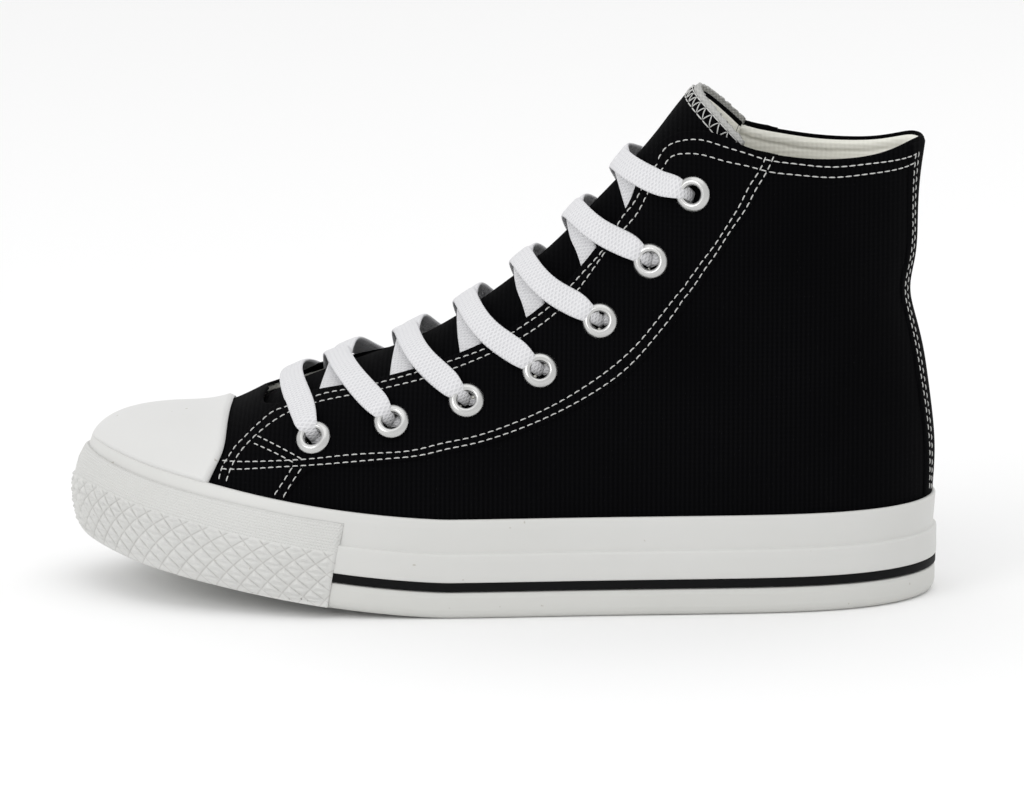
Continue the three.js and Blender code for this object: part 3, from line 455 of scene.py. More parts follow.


# %% [markdown]
# The photograph's camera stands level with the shoe's outer side, a little above it and two degrees towards
# the heel. It is far away, so the lens is long. Camera and floor come first.

# %% Camera, floor and light
CAMERA_RISE = math.radians(11.5)
CAMERA_TURN = math.radians(2.0)
CAMERA_DISTANCE = 2.4
CAMERA_TARGET = np.array([132.3 - ORIGIN_ALONG, -ORIGIN_ACROSS, 62.5]) * MM
IMAGE_WIDTH = 1024
PIXELS_PER_METRE = 3145.0
SENSOR = 36.0
CLIP_END = 20.0
toward = np.array([
    -math.sin(CAMERA_TURN) * math.cos(CAMERA_RISE),
    math.cos(CAMERA_TURN) * math.cos(CAMERA_RISE),
    math.sin(CAMERA_RISE),
])
lens = bpy.data.cameras.new("camera")
lens.sensor_width = SENSOR
lens.lens = PIXELS_PER_METRE * CAMERA_DISTANCE * SENSOR / IMAGE_WIDTH
lens.clip_end = CLIP_END
camera = bpy.data.objects.new("camera", lens)
bpy.context.collection.objects.link(camera)
camera.location = CAMERA_TARGET + toward * CAMERA_DISTANCE
camera.rotation_euler = (math.pi / 2 - CAMERA_RISE, 0, math.pi + CAMERA_TURN)
bpy.context.scene.camera = camera


def linear(hex_colour):
    """An sRGB hex colour as linear red, green, blue and a full alpha."""
    parts = np.array([int(hex_colour[i:i + 2], 16) for i in (1, 3, 5)]) / 255
    straight = np.where(parts <= 0.04045, parts / 12.92, ((parts + 0.055) / 1.055) ** 2.4)
    return (*straight.tolist(), 1.0)


def add(tree, kind, inputs=None, **settings):
    """Adds a shader node with its settings, and fills or links its inputs."""
    made = tree.nodes.new("ShaderNode" + kind)
    for name, value in settings.items():
        setattr(made, name, value)
    for socket, value in (inputs or {}).items():
        if isinstance(value, bpy.types.NodeSocket):
            tree.links.new(value, made.inputs[socket])
        else:
            made.inputs[socket].default_value = value
    return made


def new_material(name, **sockets):
    """A material with one Principled shader, and constants on the shader's own sockets."""
    made = bpy.data.materials.new(name)
    made.use_nodes = True
    shader = made.node_tree.nodes["Principled BSDF"]
    for socket, value in sockets.items():
        shader.inputs[socket.replace("_", " ")].default_value = value
    return made, made.node_tree, shader


floor_mesh = bpy.data.meshes.new("floor")
FLOOR_REACH = 3.0
floor_mesh.from_pydata(
    [(-FLOOR_REACH, -FLOOR_REACH, 0), (FLOOR_REACH, -FLOOR_REACH, 0), (FLOOR_REACH, FLOOR_REACH, 0),
     (-FLOOR_REACH, FLOOR_REACH, 0)],
    [], [(0, 1, 2, 3)])
floor = bpy.data.objects.new("floor", floor_mesh)
bpy.context.collection.objects.link(floor)
paper = new_material("seamless paper", Roughness=0.9, Base_Color=linear("#f7f7f7"))[0]
floor_mesh.materials.append(paper)

WORLD_STRENGTH = 0.93
world = bpy.data.worlds.new("studio")
world.use_nodes = True
world.node_tree.nodes["Background"].inputs["Color"].default_value = linear("#ffffff")
world.node_tree.nodes["Background"].inputs["Strength"].default_value = WORLD_STRENGTH
bpy.context.scene.world = world
bpy.context.scene.view_settings.view_transform = "Standard"

LAMPS = {
    "overhead": {"place": (0.0, 0.25, 1.3), "size": 1.2, "power": 2.5},
    "front_left": {"place": (0.9, 1.1, 0.8), "size": 0.7, "power": 4.5},
    "rear": {"place": (-0.8, -0.9, 0.9), "size": 0.7, "power": 1.0},
}
for lamp_name, lamp in LAMPS.items():
    light = bpy.data.lights.new(lamp_name, "AREA")
    light.size = lamp["size"]
    light.energy = lamp["power"]
    light_object = bpy.data.objects.new(lamp_name, light)
    bpy.context.collection.objects.link(light_object)
    light_object.location = lamp["place"]
    direction = np.array(lamp["place"]) - CAMERA_TARGET
    light_object.rotation_euler = (
        math.atan2(math.hypot(direction[0], direction[1]), direction[2]),
        0,
        math.atan2(direction[1], direction[0]) + math.pi / 2,
    )
print("lens", round(lens.lens, 1), "mm, lamps", len(LAMPS))

# %% [markdown]
# The upper is cotton canvas dyed black, plain woven, so it is dull and swallows light, with faint ribs where
# its thicker warp runs. Real warp threads lie 0.75 mm apart, too fine to show from the camera, so the waves
# below are drawn twice as coarse.

# %% Cloth materials
WARP_PITCH = 0.75
DRAWN_COARSER = 2.0
WAVE_RADIANS = 20.0
LINT_PER_METRE = 900.0
DYE_PER_METRE = 25.0
THREAD_RELIEF = 0.3


def repeats(size):
    """How often a pattern of this many millimetres repeats in a metre."""
    return 1 / (size * MM)


def woven(name, colour, pale, rough, pitch=WARP_PITCH, depth=0.25, shine=0.25, weft=0.5):
    """Plain weave: two sets of waves at right angles in the piece's own place, one for warp and one for weft,
    raise the threads, and slow noise makes the dye uneven."""
    made, tree, shader = new_material(name, Roughness=rough)
    shader.inputs["Specular IOR Level"].default_value = shine
    place = add(tree, "TexCoord").outputs["Object"]
    coarse = 2 * math.pi / WAVE_RADIANS * repeats(pitch * DRAWN_COARSER)
    threads = []
    for direction in ("X", "Z"):
        wave = add(tree, "TexWave", {"Vector": place, "Scale": coarse, "Distortion": 0.4,
                                     "Detail": 1.0, "Detail Scale": 2.0}, bands_direction=direction)
        threads.append(wave.outputs["Fac"])
    weave = add(tree, "Mix", {0: weft, 2: threads[0], 3: threads[1]})
    lint = add(tree, "TexNoise", {"Vector": place, "Scale": LINT_PER_METRE, "Detail": 3.0})
    height = add(tree, "Math", {0: weave.outputs[0], 1: lint.outputs["Fac"]}, operation="ADD")
    bump = add(tree, "Bump", {"Height": height.outputs[0], "Strength": depth, "Distance": THREAD_RELIEF * MM})
    tree.links.new(bump.outputs[0], shader.inputs["Normal"])
    patches = add(tree, "TexNoise", {"Vector": place, "Scale": DYE_PER_METRE, "Detail": 4.0})
    both = add(tree, "Math", {0: weave.outputs[0], 1: patches.outputs["Fac"]}, operation="MULTIPLY")
    mix = add(tree, "Mix", {"Factor": both.outputs[0], 6: linear(colour), 7: linear(pale)}, data_type="RGBA")
    tree.links.new(mix.outputs[2], shader.inputs["Base Color"])
    return made


BLACK_CANVAS = woven("black dyed cotton canvas", "#020203", "#0c0c0e", 0.95, depth=0.4, shine=0.05, weft=0.2)
LINING_CANVAS = woven("undyed cotton drill lining", "#e6e5dc", "#f2f1ea", 0.9, depth=0.3)
THREAD = woven("white spun cotton thread", "#b9b9b7", "#d8d8d5", 0.85, pitch=0.4, depth=0.2)
print("cloth materials ready")

# %% [markdown]
# The canvas is cut so that its upper edge runs up the throat and round the collar, and its lower edge goes
# under the rubber. Between those two lines the panel is a straight blend in section and turn, so its grid
# follows the seams instead of crossing them. Soft creases are troughs and ridges laid on one by one.

# %% Creases
FOLDS = columns("x1 z1 x2 z2 width height", [
    (176, 62, 150, 44, 6.0, -0.9),
    (168, 66, 146, 50, 5.0, 0.7),
    (60, 92, 96, 70, 6.0, -0.8),
    (52, 84, 90, 62, 6.0, 0.6),
    (22, 74, 52, 60, 6.0, -0.6),
    (30, 112, 62, 104, 7.0, -0.6),
])
FADE_IN = (-0.25, 0.3)
FADE_OUT = (1.25, 0.7)


def crease(points):
    """Sum of the folds: each is height * exp(-(distance / width)^2) about a short line of the side view,
    faded at the line's ends."""
    total = np.zeros(points.shape[:-1])
    for x1, z1, x2, z2, width, height in zip(*FOLDS.values()):
        along = np.array([x2 - x1, z2 - z1])
        length = np.hypot(*along)
        along = along / length
        offset_x = points[..., 0] - x1
        offset_z = points[..., 2] - z1
        run = (offset_x * along[0] + offset_z * along[1]) / length
        away = offset_x * along[1] - offset_z * along[0]
        bell = height * np.exp(-(away / width) ** 2)
        total += bell * smoothstep(*FADE_IN, run) * smoothstep(*FADE_OUT, run)
    return total


def cloth(section, turn, grow):
    """The last with its creases: grow is raised by the crease at the point on the bare last."""
    return last(section, turn, grow + crease(last(section, turn, 0.0)))


def blend(top, bottom, shares):
    """Grid of (section, turn): each row is a share of the way from the top line to the bottom line."""
    return top[None] + (bottom - top)[None] * shares[:, None, None]


def both_sides(line):
    """A line of one side, from the front, as a loop from the back by the lateral side round to the back
    again."""
    mirrored = line * (1, -1)
    return np.concatenate([line[::-1], mirrored[1:]])


NEAR_SECTION = 0.05
NEAR_TURN = 0.01


def eyelet_seat(mark, side):
    """Centre of an eyelet on the raised eyestay, and the direction it faces."""
    section, turn = mark[0], side * float(turn_of(mark[1]))
    centre = last(section, turn, OVERLAY_STEP)
    before, after = section - NEAR_SECTION, section + NEAR_SECTION
    ahead = last(after, turn, OVERLAY_STEP) - last(before, turn, OVERLAY_STEP)
    aside = side * NEAR_TURN
    down = last(section, turn + aside, OVERLAY_STEP) - last(section, turn - aside, OVERLAY_STEP)
    normal = np.cross(ahead, down)
    normal = normal / np.linalg.norm(normal)
    return centre, normal * np.sign(normal[1] * side)


HOLE_RADIUS = 3.5
HOLE_REACH = 8.0


def without_holes(points):
    """True for each cell whose middle is farther than the hole's radius from every eyelet's axis."""
    middles = (points[:-1, :-1] + points[1:, 1:]) / 2
    keep = np.ones(middles.shape[:2], bool)
    for mark in EYELETS:
        for side in (1, -1):
            centre, normal = eyelet_seat(mark, side)
            offset = middles - centre
            depth = offset @ normal
            radius = np.linalg.norm(offset - depth[..., None] * normal, axis=-1)
            keep &= (radius > HOLE_RADIUS) | (np.abs(depth) > HOLE_REACH)
    return keep


print("folds", len(FOLDS["width"]), "deepest", FOLDS["height"].min(), "mm")

# %% Upper canvas and lining
FACING_COLUMNS = 150
COLLAR_COLUMNS = 90
TUCK_HEIGHT = 24.0


def edge_profile(reach, rim):
    """How far a sheet's edge has sunk at a distance from it: rim * (1 - sqrt(1 - (1 - distance / rim)^2))."""
    near = np.clip(1 - reach / rim, 0, 1)
    return rim * (1 - np.sqrt(1 - near**2))


top_line = np.concatenate([drawn(FACING_EDGE, FACING_COLUMNS)[:-1], drawn(COLLAR_EDGE, COLLAR_COLUMNS)])
bottom_line = level_line(TUCK_HEIGHT, 0.0, len(top_line))
top_loop = both_sides(top_line)
bottom_loop = both_sides(bottom_line)
EDGE_ROWS = np.array([0.0, 0.1, 0.3, 0.6, 1.0, 1.6])


def panel_rows(length, step):
    """Shares of a panel's length: close together in the first millimetres, for its edge, then evenly
    spaced."""
    count = int((length - EDGE_ROWS[-1]) / step)
    return np.concatenate([EDGE_ROWS, np.linspace(EDGE_ROWS[-1], length, count)[1:]]) / length


MEAN_DEPTH = 95.0
PANEL_STEP = 1.25
CANVAS_BACK = -1.0
rows = panel_rows(MEAN_DEPTH, PANEL_STEP)
grid = blend(top_loop, bottom_loop, rows)
canvas_front = cloth(grid[..., 0], grid[..., 1], -edge_profile(rows[:, None] * MEAN_DEPTH, -CANVAS_BACK))
canvas_back = cloth(grid[..., 0], grid[..., 1], CANVAS_BACK)
points, faces = closed_sheet(canvas_front, canvas_back, without_holes(canvas_front))
piece("upper_canvas", points, faces, BLACK_CANVAS, ["upper"])

# The lining starts a little under the canvas's edge. Two sewn rolls run round it, finely divided, each given
# by the depth of its middle and its half width
LINING_DROP = 1.1
LINING_EDGE = 0.9
LINING_BACK = -1.05
ROLLS_END = 12.0
ROLL_RISE = 0.55
ROLLS = ((1.6, 1.3), (5.3, 2.1))
LINING_STEPS = np.concatenate([
    EDGE_ROWS[:4],
    np.arange(1.0, ROLLS_END, 0.5),
    np.arange(ROLLS_END, MEAN_DEPTH - LINING_DROP, 1.9),
])
lining_shares = LINING_STEPS / MEAN_DEPTH
lining_grid = blend(top_loop, bottom_loop, lining_shares + LINING_DROP / MEAN_DEPTH)[:, ::2]
lining_rows = LINING_STEPS[:, None]
humps = [np.sqrt(np.clip(1 - ((lining_rows - middle) / reach) ** 2, 0, 1)) for middle, reach in ROLLS]
lining_grow = -CANVAS + edge_profile(lining_rows, LINING_EDGE) - ROLL_RISE * sum(humps)
lining_front = cloth(lining_grid[..., 0], lining_grid[..., 1], lining_grow)
lining_back = cloth(lining_grid[..., 0], lining_grid[..., 1], LINING_BACK)
points, faces = closed_sheet(lining_front, lining_back, without_holes(lining_front))
piece("upper_lining", points, faces, LINING_CANVAS)

# %% [markdown]
# Eyestays and the heel strip are second layers of the same canvas, folded under at the edge and sewn down.
# Each is its own sheet, 0.7 mm proud, with a rounded fold along every edge.

# %% Eyestays and heel strip
OVERLAY_ROWS = 46
OVERLAY_LIFT = 0.02
OVERLAY_BACK = -0.35
CROWDING = 0.94


def overlay_rise(across, along, height=OVERLAY_STEP):
    """Height of a folded sheet above what it lies on: it rises over a rounded edge from every side."""
    distance = np.minimum(across, along)
    return height - edge_profile(distance, height) + OVERLAY_LIFT


def grid_reach(points):
    """Distance in millimetres of each grid point from the nearer end of its row and of its column."""
    down = np.linalg.norm(np.diff(points, axis=0), axis=-1).cumsum(axis=0)
    down = np.concatenate([np.zeros((1, points.shape[1])), down])
    along = np.linalg.norm(np.diff(points, axis=1), axis=-1).cumsum(axis=1)
    along = np.concatenate([np.zeros((points.shape[0], 1)), along], axis=1)
    return np.minimum(down, down[-1] - down), np.minimum(along, along[:, -1:] - along)


def edged(count):
    """Shares from 0 to 1 that crowd towards both ends."""
    even = np.linspace(0, 1, count)
    return even - np.sin(2 * math.pi * even) / (2 * math.pi) * CROWDING


def overlay(name, top, bottom, sides, material, height=OVERLAY_STEP, down=OVERLAY_ROWS, holes=False):
    """A sewn down second layer between two lines of the last."""
    made = []
    for side_name, side in sides:
        grid = blend(top * (1, side), bottom * (1, side), edged(down))
        base = cloth(grid[..., 0], grid[..., 1], 0.0)
        across, along = grid_reach(base)
        front = cloth(grid[..., 0], grid[..., 1], overlay_rise(across, along, height))
        back = cloth(grid[..., 0], grid[..., 1], OVERLAY_BACK)
        keep = without_holes(front) if holes else None
        points, faces = closed_sheet(front, back, keep)
        made.append(piece(f"{name}_{side_name}", points, faces, material))
    return made


SIDES = (("lateral", 1), ("medial", -1))
EYESTAY_COLUMNS = 210
STRIP_ROWS = 70
STRIP_COLUMNS = 15
collar_front = COLLAR_EDGE[1:7]
eyestay_top = drawn(EYESTAY_FRONT + FACING_EDGE[2:] + collar_front, EYESTAY_COLUMNS)
eyestay_bottom = drawn(EYESTAY_EDGE, EYESTAY_COLUMNS)
overlay("eyestay", eyestay_top, eyestay_bottom, SIDES, BLACK_CANVAS, holes=True)
HEEL_STRIP_MARKS = [
    (16.55, 0.935), (15.79, 0.962), (15.1, 0.964), (14.32, 0.96), (13.6, 0.966), (13.05, 0.975),
]
STRIP_TOP = 16.61
STRIP_BOTTOM = 13.0
strip_line = drawn(HEEL_STRIP_MARKS, STRIP_ROWS)
strip_middle = np.stack([np.linspace(STRIP_TOP, STRIP_BOTTOM, STRIP_ROWS), np.ones(STRIP_ROWS)], -1)
strip_half = blend(strip_line, strip_middle, np.linspace(0, 1, STRIP_COLUMNS)).transpose(1, 0, 2)
strip_grid = np.concatenate([strip_half, strip_half[:, -2::-1] * (1, -1)], axis=1)
strip_base = cloth(strip_grid[..., 0], strip_grid[..., 1], 0.0)
strip_across, strip_along = grid_reach(strip_base)
strip_front = cloth(strip_grid[..., 0], strip_grid[..., 1], overlay_rise(strip_across, strip_along))
strip_back = cloth(strip_grid[..., 0], strip_grid[..., 1], OVERLAY_BACK)
points, faces = closed_sheet(strip_front, strip_back)
piece("heel_strip", points, faces, BLACK_CANVAS)

# %% [markdown]
# The tongue is a padded strip of the same canvas that lies under the lace and stands above the collar. Its
# top edge is overlocked: a zigzag of thread wraps the raw edge, above which the cut threads fray.

# %% Tongue
TONGUE_EDGE = [
    (5.45, 0.1), (6.0, 0.16), (7.0, 0.22), (8.0, 0.26), (10.0, 0.27), (12.0, 0.25), (14.0, 0.26),
    (15.64, 0.254),
]
TONGUE_CROWN = [15.95, 15.82, 15.52]
CROWN_FROM = 0.55
TONGUE_OUT = -3.2
TONGUE_IN = -4.7
TONGUE_EDGE_ROUND = 0.7
FLARE = 0.9
FLARE_FROM = 0.86
TONGUE_ROWS = 150
TONGUE_COLUMNS = 61
tongue_side = drawn(TONGUE_EDGE, TONGUE_ROWS, TONGUE_OUT)
tongue_across = np.linspace(-1, 1, TONGUE_COLUMNS)
tongue_crown = natural_spline([0, 0.5, 1], TONGUE_CROWN)
tongue_share = np.linspace(0, 1, TONGUE_ROWS)[:, None]
tongue_turn = tongue_side[:, 1][:, None] * tongue_across[None]
crown_lift = tongue_crown(np.abs(tongue_across))[None] - tongue_crown(1.0)
tongue_section = tongue_side[:, 0][:, None] + crown_lift * smoothstep(CROWN_FROM, 1, tongue_share)
tongue_base = last(tongue_section, tongue_turn, TONGUE_OUT)
tongue_down, tongue_along = grid_reach(tongue_base)
puff = edge_profile(np.minimum(tongue_down, tongue_along), TONGUE_EDGE_ROUND)
lift_out = FLARE * smoothstep(FLARE_FROM, 1, tongue_share)
tongue_front = last(tongue_section, tongue_turn, TONGUE_OUT + lift_out - puff)
tongue_back = last(tongue_section, tongue_turn, TONGUE_IN + puff)
points, faces = closed_sheet(tongue_front, tongue_back)
piece("tongue_canvas", points, faces, BLACK_CANVAS, ["tongue"])
LINING_THICK = 0.3
INTO_CANVAS = 0.1
lining_inside = last(tongue_section, tongue_turn, TONGUE_IN - LINING_THICK + puff)
lining_outside = tongue_back + INTO_CANVAS * (tongue_front - tongue_back)
points, faces = closed_sheet(lining_inside[::2, ::2], lining_outside[::2, ::2])
piece("tongue_lining", points, faces, LINING_CANVAS)

# %% [markdown]
# Toe cap, sidewall, bumper and outsole are white vulcanised rubber: cured in one oven, a little glossy, never
# quite white, and scuffed where the shoe meets the ground. The stripe is the same rubber coloured black.

# %% Rubber materials
CLOUDS_PER_METRE = 18.0
SPECKS_PER_METRE = 420.0
GRAIN_PER_METRE = 700.0
GRAIN_RELIEF = 0.06 * MM
RUBBER_IOR = 1.5


def rubber(name, colour, dull, rough, shine=0.4, speck_colour="#b4b1aa"):
    """Moulded rubber: an even colour with faint clouds and rare specks of dust, a soft gloss, and fine grain
    from the mould."""
    made, tree, shader = new_material(name, IOR=RUBBER_IOR)
    shader.inputs["Specular IOR Level"].default_value = shine
    place = add(tree, "TexCoord").outputs["Object"]
    large = {"Vector": place, "Scale": CLOUDS_PER_METRE, "Detail": 5.0, "Roughness": 0.6}
    clouds = add(tree, "TexNoise", large)
    cloudy = clouds.outputs["Fac"]
    mix = add(tree, "Mix", {"Factor": cloudy, 6: linear(colour), 7: linear(dull)}, data_type="RGBA")
    dots = add(tree, "TexNoise", {"Vector": place, "Scale": SPECKS_PER_METRE, "Detail": 1.0})
    speck = add(tree, "MapRange", {"Value": dots.outputs["Fac"], "From Min": 0.775, "From Max": 0.81})
    tones = {"Factor": speck.outputs[0], 6: mix.outputs[2], 7: linear(speck_colour)}
    dirty = add(tree, "Mix", tones, data_type="RGBA")
    tree.links.new(dirty.outputs[2], shader.inputs["Base Color"])
    gloss = add(tree, "MapRange", {"Value": cloudy, "To Min": rough - 0.06, "To Max": rough + 0.08})
    tree.links.new(gloss.outputs[0], shader.inputs["Roughness"])
    grain = add(tree, "TexNoise", {"Vector": place, "Scale": GRAIN_PER_METRE, "Detail": 2.0})
    bump = add(tree, "Bump", {"Height": grain.outputs["Fac"], "Strength": 0.15, "Distance": GRAIN_RELIEF})
    tree.links.new(bump.outputs[0], shader.inputs["Normal"])
    return made


CAP_RUBBER = rubber("white vulcanised rubber, polished mould", "#d5d5d4", "#cdcdcb", 0.35)
SIDE_RUBBER = rubber("white vulcanised rubber, matt", "#d1d1cf", "#c9c9c6", 0.45)
STRIPE_RUBBER = rubber("black rubber strip", "#060607", "#0a0a0b", 0.6, shine=0.12, speck_colour="#111112")
SOLE_RUBBER = rubber("white rubber outsole", "#cfcfcc", "#c5c5c1", 0.55)

# %% Sidewall and stripe
RING_COUNT = 260
SIDEWALL_TOP = 31.7


def carried(profile, count=RING_COUNT):
    """A closed profile of (grow, height) carried round the shoe on its level lines."""
    return closed_ring([level_ring(height, grow, count) for grow, height in profile])


foxing_profile = [
    (0.35, 9.0), (1.3, 8.95), (1.45, 9.1), (1.45, 11.7), (1.5, 11.8), (2.6, 11.8), (2.9, 11.95),
    (3.0, 12.3), (3.04, 14.5), (3.04, 18.0), (3.0, 20.2), (2.86, 20.75), (2.5, 20.98), (2.0, 21.05),
    (1.84, 21.15), (1.8, 21.5), (1.8, 24.0), (1.8, 28.0), (1.78, 31.0), (1.65, 31.45), (1.3, 31.68),
    (0.8, 31.72), (0.4, 31.6), (0.35, 31.0), (0.35, 24.0), (0.35, 16.0),
]
points, faces = carried(foxing_profile)
piece("sidewall", points, faces, SIDE_RUBBER, ["foxing"])
stripe_profile = [
    (1.6, 8.95), (2.6, 8.95), (2.78, 9.1), (2.82, 9.5), (2.82, 11.2), (2.78, 11.55), (2.6, 11.7), (1.6, 11.7),
]
points, faces = carried(stripe_profile)
piece("sidewall_stripe", points, faces, STRIPE_RUBBER, ["pinstripe"])

# %% [markdown]
# The toe cap is a thin rubber shell moulded over the canvas. Its cross sections are arcs from the sidewall
# over the toe to the sidewall, so the grid takes one row for each section and closes at the front.

# %% Toe cap
CAP_OUT = 1.9
CAP_BACK = 0.4
CAP_ROUND = 1.3
CAP_TUCK = 0.7
CAP_CORNER = 4.75
CAP_ROWS = 90
CAP_COLUMNS = 121
CAP_CROWDING = 1.6
CAP_EDGE = columns("section drop", [
    (5.15, 0.0), (5.13, 0.055), (5.08, 0.12), (4.96, 0.18), (4.81, 0.26), (4.6, 0.42),
])
cap_edge = natural_spline(turn_of(CAP_EDGE["drop"]), CAP_EDGE["section"])
cap_level = level_line(SIDEWALL_TOP - CAP_TUCK, 1.0, 500)
cap_front = cap_level[0, 0]
cap_across = np.linspace(-1, 1, CAP_COLUMNS)
cap_share = np.linspace(0, 1, CAP_ROWS) ** CAP_CROWDING


def cap_grid():
    """Rows of (section, turn) from the front of the cap to its rear edge: a row's section lies between
    the two, and its turn runs from the sidewall's line on one side to the other."""
    rear_turn = float(np.interp(CAP_CORNER, cap_level[:, 0], cap_level[:, 1]))
    rear_turns = cap_across * rear_turn
    rear = cap_edge(np.abs(rear_turns))
    section = cap_front + (rear[None] - cap_front) * cap_share[:, None]
    reach = np.interp(section, cap_level[:, 0], cap_level[:, 1])
    return np.stack([section, reach * cap_across[None]], -1)


cap = cap_grid()
cap_base = last(cap[..., 0], cap[..., 1], CAP_OUT)
cap_sunk = edge_profile(np.minimum(*grid_reach(cap_base)), CAP_ROUND)
cap_outside = last(cap[..., 0], cap[..., 1], CAP_OUT - cap_sunk)
cap_inside = last(cap[..., 0], cap[..., 1], CAP_BACK)
points, faces = closed_sheet(cap_outside, cap_inside)
piece("toe_cap_rubber", points, faces, CAP_RUBBER, ["toe_cap"])

# %% [markdown]
# The bumper is a thick strip over the sidewall's front. Its lower two thirds carry a lattice of rhombs, each
# cut across its middle, modelled as real relief so that it holds its shape from every side. Above the lattice
# lie rows of fine dots that are too small to model, so the material raises them as bump.

# %% Toe bumper
BUMPER_START = 183.5
BUMPER_SLANT = 5.2
BUMPER_TOP = 28.5
BUMPER_OUT = 4.5
BUMPER_BULGE = 2.0
bumper_heights = np.linspace(0.5, BUMPER_TOP, 74)
BUMPER_COUNT = 520


def bumper_grow(height, x):
    """The bumper's outer face: it bulges in the middle of its height, and more towards the toe."""
    middle = np.sin(math.pi * np.clip((height + 4) / (BUMPER_TOP + 6), 0, 1))
    return BUMPER_OUT - 2.2 * (1 - middle) + BUMPER_BULGE * middle * smoothstep(BUMPER_START, 240, x)


def bumper_rows(offset):
    """One row for each height, of points on the level rings that lie ahead of the bumper's start."""
    rows = []
    for height in bumper_heights:
        line = level_line(height, 3.0, BUMPER_COUNT)
        start = BUMPER_START + BUMPER_SLANT * (1 - height / BUMPER_TOP)
        x = last(line[:, 0], line[:, 1], 3.0)[:, 0]
        cut = float(np.interp(-start, -x, np.arange(len(x))))
        wanted = np.linspace(0, cut, BUMPER_COUNT // 2)
        half = np.stack([np.interp(wanted, np.arange(len(x)), line[:, k]) for k in range(2)], -1)
        rows.append(both_sides(half))
    grid = np.array(rows)
    base = last(grid[..., 0], grid[..., 1], 3.0)
    grow = bumper_grow(bumper_heights[:, None], base[..., 0]) + offset
    return grid, last(grid[..., 0], grid[..., 1], grow)


bumper_grid, bumper_face = bumper_rows(0.0)
bumper_run = np.linalg.norm(np.diff(bumper_face, axis=1), axis=-1).cumsum(axis=1)
bumper_run = np.concatenate([np.zeros((len(bumper_face), 1)), bumper_run], axis=1)
bumper_run = bumper_run - bumper_run[:, -1:] / 2
bumper_height = np.broadcast_to(bumper_heights[:, None], bumper_run.shape)
PYRAMID_WIDTH = 6.9
PYRAMID_TALL = 5.6
PYRAMID_RISE = 1.1
GROOVE_RISE = 0.2
DOT_PITCH = 0.95
DOTS_FROM = 18.6


def relief(run, height):
    """A lattice of rhombs, each cut across its middle. With a and b the distances from a rhomb's middle along
    its two leans, the height is the lower of 1 - 2 max(|a|, |b|) and 2 |a - b|, so each half is a pyramid."""
    a = (run / PYRAMID_WIDTH + height / PYRAMID_TALL) % 1.0 - 0.5
    b = (run / PYRAMID_WIDTH - height / PYRAMID_TALL) % 1.0 - 0.5
    from_middle = 2 * np.maximum(np.abs(a), np.abs(b))
    facets = PYRAMID_RISE * 1.5 * np.minimum(1 - from_middle, 2 * np.abs(a - b))
    facets = facets - GROOVE_RISE * smoothstep(0.82, 0.98, from_middle)
    return facets * smoothstep(1.5, 2.5, height) * (1 - smoothstep(DOTS_FROM - 0.8, DOTS_FROM, height))


def patterned_rubber(name, groove_dust_and_shade_colour):
    """The sidewall's rubber with the mould's finest work, read from the piece's own map of run and
    height: the grooves of the lattice are greyed, partly as dusty rubber and partly as painted shade in the
    recesses, and rows of dots stand on the ribs."""
    made = SIDE_RUBBER.copy()
    made.name = name
    tree = made.node_tree
    shader = tree.nodes["Principled BSDF"]
    split = add(tree, "SeparateXYZ", {0: add(tree, "UVMap", uv_map="surface").outputs[0]})
    run = split.outputs[0]
    height = split.outputs[1]
    across = add(tree, "Math", {0: run, 1: 1 / PYRAMID_WIDTH}, operation="MULTIPLY")
    sides = []
    for lean in (1, -1):
        leaning = {0: height, 1: lean / PYRAMID_TALL, 2: across.outputs[0]}
        slant = add(tree, "Math", leaning, operation="MULTIPLY_ADD")
        cell = add(tree, "Math", {0: slant.outputs[0]}, operation="FRACT")
        centred = add(tree, "Math", {0: cell.outputs[0], 1: 0.5}, operation="SUBTRACT")
        sides.append(add(tree, "Math", {0: centred.outputs[0]}, operation="ABSOLUTE").outputs[0])
    edge = add(tree, "Math", {0: sides[0], 1: sides[1]}, operation="MAXIMUM")
    groove = add(tree, "MapRange", {"Value": edge.outputs[0], "From Min": 0.44, "From Max": 0.5})
    below = add(tree, "Math", {0: height, 1: DOTS_FROM - 0.5}, operation="LESS_THAN")
    # The grooves are greyed: partly dusty rubber, partly painted shade where the recesses would lie in shade
    groove_dust_and_shade = add(tree, "Math", {0: groove.outputs[0], 1: below.outputs[0]}, operation="MULTIPLY")
    ungreyed_colour = shader.inputs["Base Color"].links[0].from_socket
    mix = add(tree, "Mix", {"Factor": groove_dust_and_shade.outputs[0], 6: ungreyed_colour, 7: linear(groove_dust_and_shade_colour)}, data_type="RGBA")
    tree.links.new(mix.outputs[2], shader.inputs["Base Color"])
    waves = []
    for place in (run, height):
        phase = add(tree, "Math", {0: place, 1: 2 * math.pi / DOT_PITCH}, operation="MULTIPLY")
        waves.append(add(tree, "Math", {0: phase.outputs[0]}, operation="COSINE").outputs[0])
    dots = add(tree, "Math", {0: waves[0], 1: waves[1]}, operation="MINIMUM")
    above = add(tree, "Math", {0: height, 1: DOTS_FROM}, operation="GREATER_THAN")
    on_ribs = add(tree, "Math", {0: dots.outputs[0], 1: above.outputs[0]}, operation="MULTIPLY")
    bump = add(tree, "Bump", {"Height": on_ribs.outputs[0], "Strength": 0.6, "Distance": 0.17 * MM})
    tree.links.new(bump.outputs[0], shader.inputs["Normal"])
    return made
